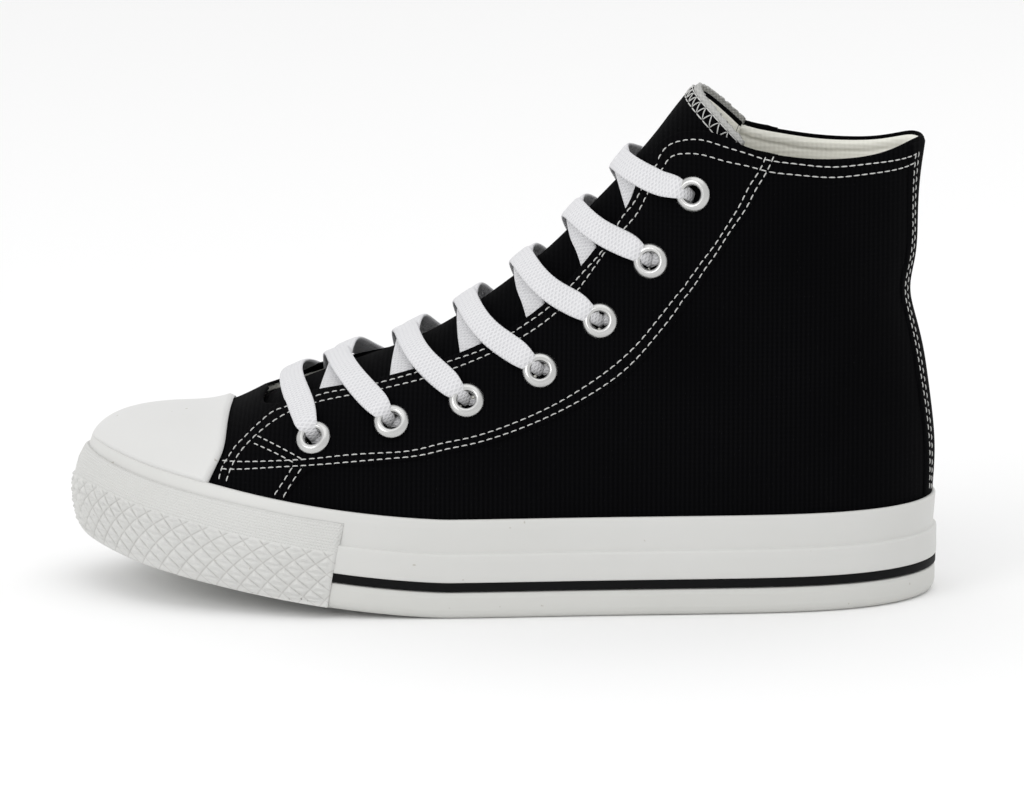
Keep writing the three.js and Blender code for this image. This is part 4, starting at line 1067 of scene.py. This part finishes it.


# The groove colour is partly dusty grey and partly painted shade
BUMPER_RUBBER = patterned_rubber("white vulcanised rubber, pressed pattern", "#bbbab7")
bumper_edge_down, bumper_edge_along = grid_reach(bumper_face)
bumper_sunk = edge_profile(np.minimum(bumper_edge_down, bumper_edge_along), 1.0)
fade = smoothstep(0.8, 1.8, bumper_edge_along)
bumper_out = bumper_grow(bumper_height, bumper_face[..., 0]) - bumper_sunk - 0.4
bumper_out = bumper_out + relief(bumper_run, bumper_height) * fade
bumper_front = last(bumper_grid[..., 0], bumper_grid[..., 1], bumper_out)
bumper_back = last(bumper_grid[..., 0], bumper_grid[..., 1], np.where(bumper_height > 20.5, 1.9, 3.1))
points, faces = closed_sheet(bumper_front, bumper_back)
bumper_map = np.stack([bumper_run, bumper_height], -1).reshape(-1, 2)
bumper_map = np.concatenate([bumper_map, bumper_map])
piece("toe_bumper_rubber", points, faces, BUMPER_RUBBER, ["toe_bumper"], bumper_map)

# %% [markdown]
# The outsole is one slab with a rounded lower edge. Its side is a profile carried round the shoe, and its
# underside a grid between the two edges, pressed in by cross grooves inside a plain rim.

# %% Outsole
TREAD_DEPTH = 1.3
GROOVE_WIDTH = 2.6
GROOVE_WALL = 0.3
GROOVE_PITCH = 9.5
TREAD_RIM = 9.0
outsole_profile = [
    (0.2, 0.0), (0.9, 0.25), (1.7, 0.9), (2.3, 1.9), (2.6, 3.4), (2.6, 6.5), (2.55, 8.3), (2.3, 8.6),
]


def plan_ring(height, grow, count):
    """The level ring at a height and grow. The sole's edge is tucked in behind the heel, but this ring is not
    narrowed there.
    """
    return level_ring(height, grow, count)


sole_rings = [plan_ring(height, grow, RING_COUNT) for grow, height in outsole_profile]
half = RING_COUNT
lateral_edge = sole_rings[0][:half]
medial_edge = np.concatenate([sole_rings[0][:1], sole_rings[0][half - 1:][::-1]])
medial_edge = medial_edge[:half]
across_share = np.linspace(0, 1, 61)[:, None, None]
bottom = lateral_edge[None] + (medial_edge - lateral_edge)[None] * across_share


def groove_depth(points):
    """How deep the tread is pressed in: bars across the sole, under the heel and under the ball, inside a
    rim."""
    x = points[..., 0]
    near_groove = np.zeros(x.shape)
    for start, end in ((0.07, 0.32), (0.52, 0.86)):
        count = int((end - start) * LAST_LENGTH / GROOVE_PITCH)
        first = start * LAST_LENGTH
        nearest = first + GROOVE_PITCH * np.clip(np.round((x - first) / GROOVE_PITCH), 0, count)
        half_groove = GROOVE_WIDTH / 2
        outside = smoothstep(half_groove - GROOVE_WALL, half_groove + GROOVE_WALL, np.abs(x - nearest))
        near_groove = np.maximum(near_groove, 1 - outside)
    rim = np.minimum(points[..., 1] - medial_edge[None, :, 1], lateral_edge[None, :, 1] - points[..., 1])
    return TREAD_DEPTH * near_groove * smoothstep(TREAD_RIM - 1.5, TREAD_RIM - 0.5, rim)


bottom = bottom + np.stack([0 * bottom[..., 0], 0 * bottom[..., 0], groove_depth(bottom)], -1)


def slab():
    """Underside, side and top of the outsole as one closed grid: rows from the middle of the underside out to
    the edge, up the side and back to the middle of the top."""
    parts = []
    number = 0
    faces = []

    def grid_faces(rows, cols, start, wrap):
        index = np.arange(rows * cols).reshape(rows, cols) + start
        if wrap:
            index = np.concatenate([index, index[:, :1]], axis=1)
        return np.stack([index[:-1, :-1], index[:-1, 1:], index[1:, 1:], index[1:, :-1]], -1).reshape(-1, 4)

    parts.append(bottom.reshape(-1, 3))
    faces.append(grid_faces(*bottom.shape[:2], number, False))
    number += bottom.shape[0] * bottom.shape[1]
    side = np.array(sole_rings)
    parts.append(side.reshape(-1, 3))
    faces.append(grid_faces(*side.shape[:2], number, True))
    number += side.shape[0] * side.shape[1]
    top_lateral = sole_rings[-1][:half]
    top_medial = np.concatenate([sole_rings[-1][:1], sole_rings[-1][half - 1:][::-1]])[:half]
    top = np.stack([top_lateral, top_medial])
    parts.append(top.reshape(-1, 3))
    faces.append(grid_faces(*top.shape[:2], number, False))
    return np.concatenate(parts), np.concatenate(faces)


points, faces = slab()
piece("outsole_rubber", points, faces, SOLE_RUBBER, ["outsole"])

# %% [markdown]
# The insole is foam under a cotton sock. Only its top shows, deep in the shoe, so it is a sheet between
# the level lines of the last's inside.

# %% Insole
INSOLE_LOW = 9.2
INSOLE_HIGH = 13.9
INSOLE_GROW = -2.5
SOCK = woven("cotton sock on foam", "#cfcdc2", "#e4e2d8", 0.9, depth=0.3)


def inside_ring(height):
    """A level ring of the last's inside, split in its lateral and medial halves from heel to toe."""
    ring = level_ring(height, INSOLE_GROW, 160)
    lateral = ring[:160]
    medial = np.concatenate([ring[:1], ring[159:][::-1]])[:160]
    return lateral, medial


insole_share = np.linspace(0, 1, 31)[:, None, None]
high_lateral, high_medial = inside_ring(INSOLE_HIGH)
low_lateral, low_medial = inside_ring(INSOLE_LOW)
insole_top = high_lateral[None] + (high_medial - high_lateral)[None] * insole_share
insole_bottom = low_lateral[None] + (low_medial - low_lateral)[None] * insole_share
points, faces = closed_sheet(insole_top, insole_bottom)
piece("insole_sock", points, faces, SOCK, ["insole"])

# %% [markdown]
# An eyelet is a brass tube, nickel plated, whose rim is rolled over a die into a round lip. A closed profile
# turned about the eyelet's axis gives it, and a metal's look comes from what it mirrors.

# %% Eyelets
NICKEL = new_material("nickel plated brass", Metallic=1.0, Roughness=0.27, Base_Color=linear("#c4c4c3"))[0]
EYELET_RADIUS = 5.7
EYELET_HOLE = 2.8
EYELET_RIM = 1.5
EYELET_AROUND = 48
eyelet_profile = columns("radius height", [
    (2.8, -2.9), (2.8, 0.3), (2.9, 0.9), (3.2, 1.35), (3.7, 1.58), (4.3, 1.5), (4.9, 1.15), (5.4, 0.65),
    (5.68, 0.2), (5.7, 0.02), (5.5, -0.05), (3.6, -0.05), (3.15, -0.4), (3.1, -2.9),
])


def turned(profile, centre, axis, around):
    """A closed profile of (radius, height) turned about an axis."""
    helper = np.array([0.0, 0.0, 1.0])
    first = np.cross(axis, helper)
    first = first / np.linalg.norm(first)
    second = np.cross(axis, first)
    angle = np.linspace(0, 2 * math.pi, around, endpoint=False)
    ring = np.cos(angle)[:, None] * first + np.sin(angle)[:, None] * second
    rows = profile["radius"][:, None, None] * ring[None] + profile["height"][:, None, None] * axis
    return closed_ring(rows + centre)


for number, mark in enumerate(EYELETS, 1):
    for side_name, side in SIDES:
        centre, normal = eyelet_seat(mark, side)
        points, faces = turned(eyelet_profile, centre, normal, EYELET_AROUND)
        node = f"eyelet_{side_name}_{number}"
        piece(f"{node}_ring", points, faces, NICKEL, [node])

# %% [markdown]
# The lace is a flat cotton braid, 8 mm wide. It comes out from under one facing, crosses the tongue, goes
# over the other facing and down through the next eyelet, pinched narrow by the hole. Each run is a rounded
# strip carried along its path on the last, with its flat side to the shoe.

# %% Lace
LACE_WIDTH = 8.0
LACE_THICK = 1.5
LACE_STEPS = 70
LACE_SECTION = 16
BRAID_WIDE = 2.7
BRAID_LONG = 1.3


def braid(name, colour, shade):
    """Flat braid: in the lace's own map, two crossing sets of slanted waves raise the strands, and a painted
    shade darkens the colour in the valleys between them.
    """
    made, tree, shader = new_material(name, Roughness=0.85, Sheen_Weight=0.15, Sheen_Roughness=0.5)
    shader.inputs["Specular IOR Level"].default_value = 0.25
    surface = add(tree, "UVMap", uv_map="surface").outputs[0]
    split = add(tree, "SeparateXYZ", {0: surface})
    waves = []
    for lean in (1.0, -1.0):
        across = add(tree, "Math", {0: split.outputs[0], 1: 2 * math.pi / BRAID_LONG}, operation="MULTIPLY")
        winding = lean * 2 * math.pi / BRAID_WIDE
        slant = add(tree, "Math", {0: split.outputs[1], 1: winding}, operation="MULTIPLY")
        phase = add(tree, "Math", {0: across.outputs[0], 1: slant.outputs[0]}, operation="ADD")
        waves.append(add(tree, "Math", {0: phase.outputs[0]}, operation="SINE"))
    strands = add(tree, "Math", {0: waves[0].outputs[0], 1: waves[1].outputs[0]}, operation="MAXIMUM")
    bump = add(tree, "Bump", {"Height": strands.outputs[0], "Strength": 0.5, "Distance": 0.25 * MM})
    tree.links.new(bump.outputs[0], shader.inputs["Normal"])
    # Painted shade: the colour falls to the darker tone in the valleys between the strands
    tone = add(tree, "MapRange", {"Value": strands.outputs[0], "From Min": -1.0, "From Max": 1.0})
    mix = add(tree, "Mix", {"Factor": tone.outputs[0], 6: linear(shade), 7: linear(colour)}, data_type="RGBA")
    tree.links.new(mix.outputs[2], shader.inputs["Base Color"])
    return made


# The second colour is the painted shade of the braid's valleys
LACE_BRAID = braid("white flat cotton braid", "#dcdcde", "#cbcbce")


def strip_along(marks):
    """A rounded strip through marks of (section, turn, height, width): its middle runs on the last at each
    height, its width lies along the surface and its ends close to a line."""
    marks = np.array(marks, float)
    spots = last(marks[:, 0], marks[:, 1], marks[:, 2])
    knots = np.concatenate([[0], np.linalg.norm(np.diff(spots, axis=0), axis=1).cumsum()])
    places = np.linspace(0, knots[-1], LACE_STEPS)
    section, turn, height, width = (natural_spline(knots, marks[:, k])(places) for k in range(4))
    foot = last(section, turn, 0.0)
    middle = last(section, turn, height)
    normal = last(section, turn, 0.5) - foot
    normal = normal / np.linalg.norm(normal, axis=1)[:, None]
    forward = np.gradient(foot, axis=0)
    across = np.cross(normal, forward)
    across = across / np.linalg.norm(across, axis=1)[:, None]
    along = np.gradient(middle, axis=0)
    out = np.cross(along, across)
    out = out / np.linalg.norm(out, axis=1)[:, None]
    angle = np.linspace(0, 2 * math.pi, LACE_SECTION, endpoint=False)
    wide = np.sign(np.cos(angle)) * np.abs(np.cos(angle)) ** 0.45
    thick = np.sin(angle)
    ends = np.minimum(1, np.minimum(places, knots[-1] - places) / 0.3 + 0.01)[:, None]
    rows = (middle[:, None] + across[:, None] * (wide[None] * width[:, None] / 2)[..., None]
            + out[:, None] * (thick[None] * ends * LACE_THICK / 2)[..., None])
    length = np.concatenate([[0], np.linalg.norm(np.diff(middle, axis=0), axis=1).cumsum()])
    surface = np.stack(np.broadcast_arrays(length[:, None], wide[None] * width[:, None] / 2), -1)
    index = np.arange(LACE_STEPS * LACE_SECTION).reshape(LACE_STEPS, LACE_SECTION)
    index = np.concatenate([index, index[:, :1]], axis=1)
    body = np.stack([index[:-1, :-1], index[:-1, 1:], index[1:, 1:], index[1:, :-1]], -1).reshape(-1, 4)
    half = LACE_SECTION // 2
    caps = []
    for row in (0, LACE_STEPS - 1):
        for k in range(half):
            far = LACE_SECTION - k
            caps.append((index[row, k], index[row, k + 1], index[row, far - 1], index[row, far]))
    return rows.reshape(-1, 3), np.concatenate([body, np.array(caps)]), surface.reshape(-1, 2)


def joined(parts):
    """Several (points, faces, surface) as one."""
    offset = 0
    all_faces = []
    for points, faces, _ in parts:
        all_faces.append(faces + offset)
        offset += len(points)
    return (np.concatenate([part[0] for part in parts]), np.concatenate(all_faces),
            np.concatenate([part[2] for part in parts]))


facing_columns = columns("section drop", FACING_EDGE[1:])
facing_turn = natural_spline(facing_columns["section"], turn_of(facing_columns["drop"]))
OVER_FACING = OVERLAY_STEP + LACE_THICK / 2 + 0.15
UNDER_FACING = -CANVAS - 0.55
MIDDLE_SHARE = 0.37
FAR_BULGE = 3.4


# How a lace goes into an eyelet: before is the distance to the eyelet's middle, height that above the canvas
INTO_EYELET = columns("before height width", [
    (7.5, 2.2, 8.0), (5.6, 2.7, 7.6), (3.7, 2.5, 6.6), (2.6, 0.9, 5.0), (2.1, -1.2, 4.0), (2.0, -3.9, 3.6),
])


def into_eyelet(centre, near):
    """Marks of a lace that comes from the near place, over an eyelet's rim and down through its middle."""
    centre = np.array(centre)
    near = np.array(near)
    reach = np.linalg.norm(last(*centre, 0.0) - last(*near, 0.0))
    marks = []
    for before, height, width in zip(*INTO_EYELET.values()):
        section, turn = centre + (near - centre) * before / reach
        marks.append((section, turn, height, width))
    return marks


def lace_run(low, high, side, over):
    """Marks of one run: from inside an eyelet on the far side to the next eyelet on the near side. over
    is how much higher it lies at the middle, where it crosses its twin."""
    start = -side * float(turn_of(low[1]))
    end = side * float(turn_of(high[1]))
    span = high[0] - low[0]
    middle = low[0] + MIDDLE_SHARE * span
    first = low[0] + 0.17 * span
    second = low[0] + 0.62 * span
    rising = (low[0] + 0.27 * span, -side * float(facing_turn(low[0])) * 0.55, 1.0, LACE_WIDTH)
    falling = (low[0] + 0.49 * span, side * float(facing_turn(middle)) * 0.55, over + FAR_BULGE, LACE_WIDTH)
    edge = (second, side * float(facing_turn(second)))
    return [
        (low[0] + 0.02, start, UNDER_FACING, 5.5),
        (first, -side * float(facing_turn(first)) * 1.1, UNDER_FACING, LACE_WIDTH),
        *([rising] if side > 0 else []),
        (middle, 0.0, over, LACE_WIDTH),
        *([falling] if side < 0 else []),
        (*edge, OVER_FACING + 0.5, LACE_WIDTH),
        *into_eyelet((high[0], end), edge),
    ]


for number in range(6):
    low = EYELETS[number]
    high = EYELETS[number + 1]
    runs = [strip_along(lace_run(low, high, 1, 0.9)), strip_along(lace_run(low, high, -1, -0.9))]
    node = f"lace_crossing_{number + 1}"
    points, faces, surface = joined(runs)
    piece(f"{node}_braid", points, faces, LACE_BRAID, [node], surface)

first_eyelet = EYELETS[0]
first_turn = float(turn_of(first_eyelet[1]))
BAR_BOW = 0.3
bar_ends = [
    into_eyelet(
        (first_eyelet[0], side * first_turn),
        (first_eyelet[0] - BAR_BOW * 0.6, side * first_turn * 0.5),
    )
    for side in (-1, 1)
]
bar_marks = [*bar_ends[0][::-1], (first_eyelet[0] - BAR_BOW, 0.0, OVER_FACING, LACE_WIDTH), *bar_ends[1]]
points, faces, surface = strip_along(bar_marks)
piece("lace_bar_braid", points, faces, LACE_BRAID, ["lace_bar"], surface)

# %% [markdown]
# The white thread is what draws the shoe's lines. Every stitch is a short thread that dips into the cloth
# at both ends, so a row is one small closed shape repeated at even steps along a line of the last.

# %% Stitches
STITCH_PITCH = 2.7
STITCH_LENGTH = 2.3
STITCH_RADIUS = 0.21
STITCH_SINK = 0.3
ALONG_RINGS = 6
AROUND_RING = 6


def threads(start, end, normal):
    """Points and faces of one short thread for each start and end. t runs from -1 to 1 along a thread: its
    radius falls off as sqrt(1 - t^4), and it sinks into the cloth by t^2."""
    middle = (start + end) / 2
    half = (end - start) / 2
    across = np.cross(half, normal)
    across = across / np.linalg.norm(across, axis=1)[:, None]
    t = np.linspace(-1, 1, ALONG_RINGS)
    angle = np.linspace(0, 2 * math.pi, AROUND_RING, endpoint=False)
    radius = STITCH_RADIUS * np.sqrt(np.clip(1.02 - t**4, 0, 1))
    side = (radius[:, None] * np.cos(angle))[None, ..., None] * across[:, None, None]
    lifted = radius[:, None] * np.sin(angle) - STITCH_SINK * t[:, None] ** 2
    rise = lifted[None, ..., None] * normal[:, None, None]
    spine = middle[:, None, None] + t[None, :, None, None] * half[:, None, None]
    points = (spine + side + rise).reshape(-1, 3)
    index = np.arange(ALONG_RINGS * AROUND_RING).reshape(ALONG_RINGS, AROUND_RING)
    index = np.concatenate([index, index[:, :1]], axis=1)
    tube = np.stack([index[:-1, :-1], index[:-1, 1:], index[1:, 1:], index[1:, :-1]], -1).reshape(-1, 4)
    caps = [row[list(corners)] for row in (index[0], index[-1]) for corners in ((0, 1, 2, 3), (0, 3, 4, 5))]
    one = np.concatenate([tube, np.array(caps)])
    faces = (one[None] + (np.arange(len(start)) * ALONG_RINGS * AROUND_RING)[:, None, None]).reshape(-1, 4)
    return points, faces, np.zeros((len(points), 2))


def stitch_row(line, grow):
    """A row of stitches at even steps along a dense line of (section, turn), lying at a height."""
    fine = evenly(line, 800)
    base = cloth(fine[:, 0], fine[:, 1], grow)
    length = np.concatenate([[0], np.linalg.norm(np.diff(base, axis=0), axis=1).cumsum()])
    count = max(int(length[-1] / STITCH_PITCH), 1)
    middle = (np.arange(count) + 0.5) * length[-1] / count
    start, end = (
        np.stack([np.interp(middle + shift * STITCH_LENGTH / 2, length, base[:, k]) for k in range(3)], -1)
        for shift in (-1, 1)
    )
    section = np.interp(middle, length, fine[:, 0])
    turn = np.interp(middle, length, fine[:, 1])
    normal = last(section, turn, grow + 0.5) - last(section, turn, grow)
    return threads(start, end, normal / np.linalg.norm(normal, axis=1)[:, None])


def stitched(name, marks, grow):
    """One piece for a row of marks and its twin on the other side."""
    line = drawn(marks, 300)
    parts = [stitch_row(line * (1, side), grow) for _, side in SIDES]
    points, faces, _ = joined(parts)
    return piece(name, points, faces, THREAD)


ON_OVERLAY = OVERLAY_STEP + 0.12
ON_CANVAS = 0.12
FACING_STITCH_OUTER = [
    (13.93, 0.07), (12.73, 0.068), (12.13, 0.068), (11.67, 0.07), (11.34, 0.08), (10.83, 0.095), (10.51, 0.1),
    (10.09, 0.11), (9.68, 0.12), (9.21, 0.125), (8.84, 0.127), (8.55, 0.12), (8.31, 0.112), (6.96, 0.082),
    (6.65, 0.073), (6.15, 0.072), (5.92, 0.07), (5.77, 0.082), (5.62, 0.095), (5.47, 0.114), (5.34, 0.129),
    (5.21, 0.162), (5.11, 0.189), (5.02, 0.255),
]
FACING_STITCH_INNER = [
    (13.99, 0.087), (11.86, 0.085), (10.17, 0.125), (9.29, 0.145), (8.38, 0.135), (6.94, 0.1), (6.17, 0.092),
    (5.66, 0.124), (5.3, 0.19), (5.15, 0.27),
]
COLLAR_STITCH_LOWER = [
    (14.02, 0.087), (14.3, 0.09), (14.6, 0.116), (14.91, 0.172), (15.1, 0.24), (15.32, 0.33), (15.41, 0.385),
    (15.6, 0.483), (15.83, 0.625), (16.07, 0.77), (16.35, 0.965),
]
COLLAR_STITCH = [
    (13.97, 0.067), (14.38, 0.067), (14.79, 0.093), (15.17, 0.15), (15.34, 0.217), (15.51, 0.311),
    (15.58, 0.366), (15.75, 0.466), (15.96, 0.614), (16.19, 0.766), (16.45, 0.97),
]
EYESTAY_STITCH_UPPER = [
    (15.66, 0.372), (15.44, 0.368), (14.88, 0.344), (14.0, 0.297), (13.26, 0.269), (12.91, 0.257),
    (12.54, 0.244), (12.15, 0.234), (11.79, 0.235), (11.51, 0.242), (11.27, 0.25), (10.72, 0.272),
    (10.2, 0.292), (9.7, 0.31), (9.26, 0.324), (8.84, 0.331), (8.42, 0.332), (7.88, 0.323), (7.48, 0.312),
    (6.88, 0.287), (6.32, 0.265), (5.06, 0.172),
]
EYESTAY_STITCH_LOWER = [
    (15.74, 0.4), (15.46, 0.392), (14.9, 0.368), (14.1, 0.316), (13.45, 0.289), (13.1, 0.278),
    (12.74, 0.265), (12.35, 0.253), (11.96, 0.246), (11.63, 0.254), (11.36, 0.264), (10.76, 0.288),
    (10.24, 0.311), (9.72, 0.331), (9.26, 0.344), (8.8, 0.351), (8.4, 0.351), (7.86, 0.342), (7.46, 0.331),
    (6.86, 0.311), (6.22, 0.282), (5.05, 0.206),
]
PATCH_STITCHES = [
    [(5.68, 0.125), (6.0, 0.19), (6.34, 0.267)],
    [(5.62, 0.146), (5.9, 0.2), (6.22, 0.27)],
    [(6.2, 0.282), (6.05, 0.33), (5.9, 0.377)],
    [(6.32, 0.294), (6.17, 0.34), (6.02, 0.394)],
]
HEEL_STITCHES = [
    [(16.46, 0.962), (15.79, 0.976), (15.1, 0.977), (14.5, 0.971), (14.0, 0.976), (13.42, 0.982),
     (13.12, 0.988)],
    [(16.48, 0.975), (15.79, 0.986), (15.1, 0.987), (14.5, 0.983), (14.0, 0.986), (13.42, 0.99),
     (13.12, 0.994)],
]
stitched("stitch_facing_outer", FACING_STITCH_OUTER, ON_OVERLAY)
stitched("stitch_facing_inner", FACING_STITCH_INNER, ON_OVERLAY)
stitched("stitch_collar_outer", COLLAR_STITCH, ON_OVERLAY)
stitched("stitch_collar_lower", COLLAR_STITCH_LOWER, ON_OVERLAY)
stitched("stitch_eyestay_upper", EYESTAY_STITCH_UPPER, ON_OVERLAY)
stitched("stitch_eyestay_lower", EYESTAY_STITCH_LOWER, ON_OVERLAY)
for number, marks in enumerate(PATCH_STITCHES, 1):
    stitched(f"stitch_patch_{number}", marks, ON_OVERLAY)
for number, marks in enumerate(HEEL_STITCHES, 1):
    stitched(f"stitch_heel_{number}", marks, ON_OVERLAY)

# %% [markdown]
# The tongue's raw top edge is overlocked: one thread runs along the edge, one below it, and slanted threads
# tie the two together, so the cut canvas can't unravel. Beyond them the ends of its yarns stand free.

# %% Overlock and frayed edge
OVERLOCK_COUNT = 19
OVERLOCK_DEEP = 3.6
FRAY_TALL = 1.5


def on_tongue(across, below):
    """Points of the tongue's outside: across from -1 to 1, below in millimetres under its top edge."""
    row = len(tongue_front) - 1 - below / TONGUE_ROW
    column = (across + 1) / 2 * (tongue_front.shape[1] - 1)
    low_row = np.clip(row.astype(int), 0, len(tongue_front) - 2)
    low_column = np.clip(column.astype(int), 0, tongue_front.shape[1] - 2)
    down = (row - low_row)[..., None]
    side = (column - low_column)[..., None]
    near = tongue_face[low_row, low_column] * (1 - side) + tongue_face[low_row, low_column + 1] * side
    far = tongue_face[low_row + 1, low_column] * (1 - side) + tongue_face[low_row + 1, low_column + 1] * side
    return near * (1 - down) + far * down


tongue_face = last(tongue_section, tongue_turn, TONGUE_OUT + lift_out + 0.15)
TONGUE_ROW = float(np.linalg.norm(tongue_face[-1, 30] - tongue_face[-11, 30])) / 10
posts = np.linspace(-0.97, 0.97, OVERLOCK_COUNT)
lean = 0.35 * (posts[1] - posts[0])
edge_post = on_tongue(posts, 0.3 + 0 * posts)
low_post = on_tongue(posts + lean, OVERLOCK_DEEP + 0 * posts)
starts = np.concatenate([edge_post[:-1], low_post[:-1], edge_post[:-1], edge_post[1:]])
ends = np.concatenate([edge_post[1:], low_post[1:], low_post[:-1], low_post[:-1]])
outward = np.cross(starts - ends, (0.0, 1.0, 0.0))
face_out = on_tongue(np.zeros(1), np.ones(1)) - last(16.0, 0.0, TONGUE_IN - 3.0)
normals = np.broadcast_to(face_out / np.linalg.norm(face_out), starts.shape)
points, faces, _ = threads(starts, ends, normals)
piece("tongue_overlock", points, faces, THREAD)
FRAY = woven("frayed cotton yarn ends", "#a5a5a3", "#cbcbc8", 0.95, pitch=0.5, depth=0.8)
fray_base = tongue_front[-1]
fray_up = tongue_front[-1] - tongue_front[-4]
fray_up = fray_up / np.linalg.norm(fray_up, axis=1)[:, None]
fray_rows = np.linspace(-0.8, FRAY_TALL, 6)[:, None, None]
ragged = 1 + 0.25 * np.sin(np.arange(len(fray_base)) * 2.3)[None, :, None]
fray_front = fray_base[None] + fray_up[None] * fray_rows * ragged + face_out / np.linalg.norm(face_out) * 0.1
fray_back = fray_front - face_out / np.linalg.norm(face_out) * 1.3
points, faces = closed_sheet(fray_front, fray_back)
piece("tongue_fray", points, faces, FRAY)
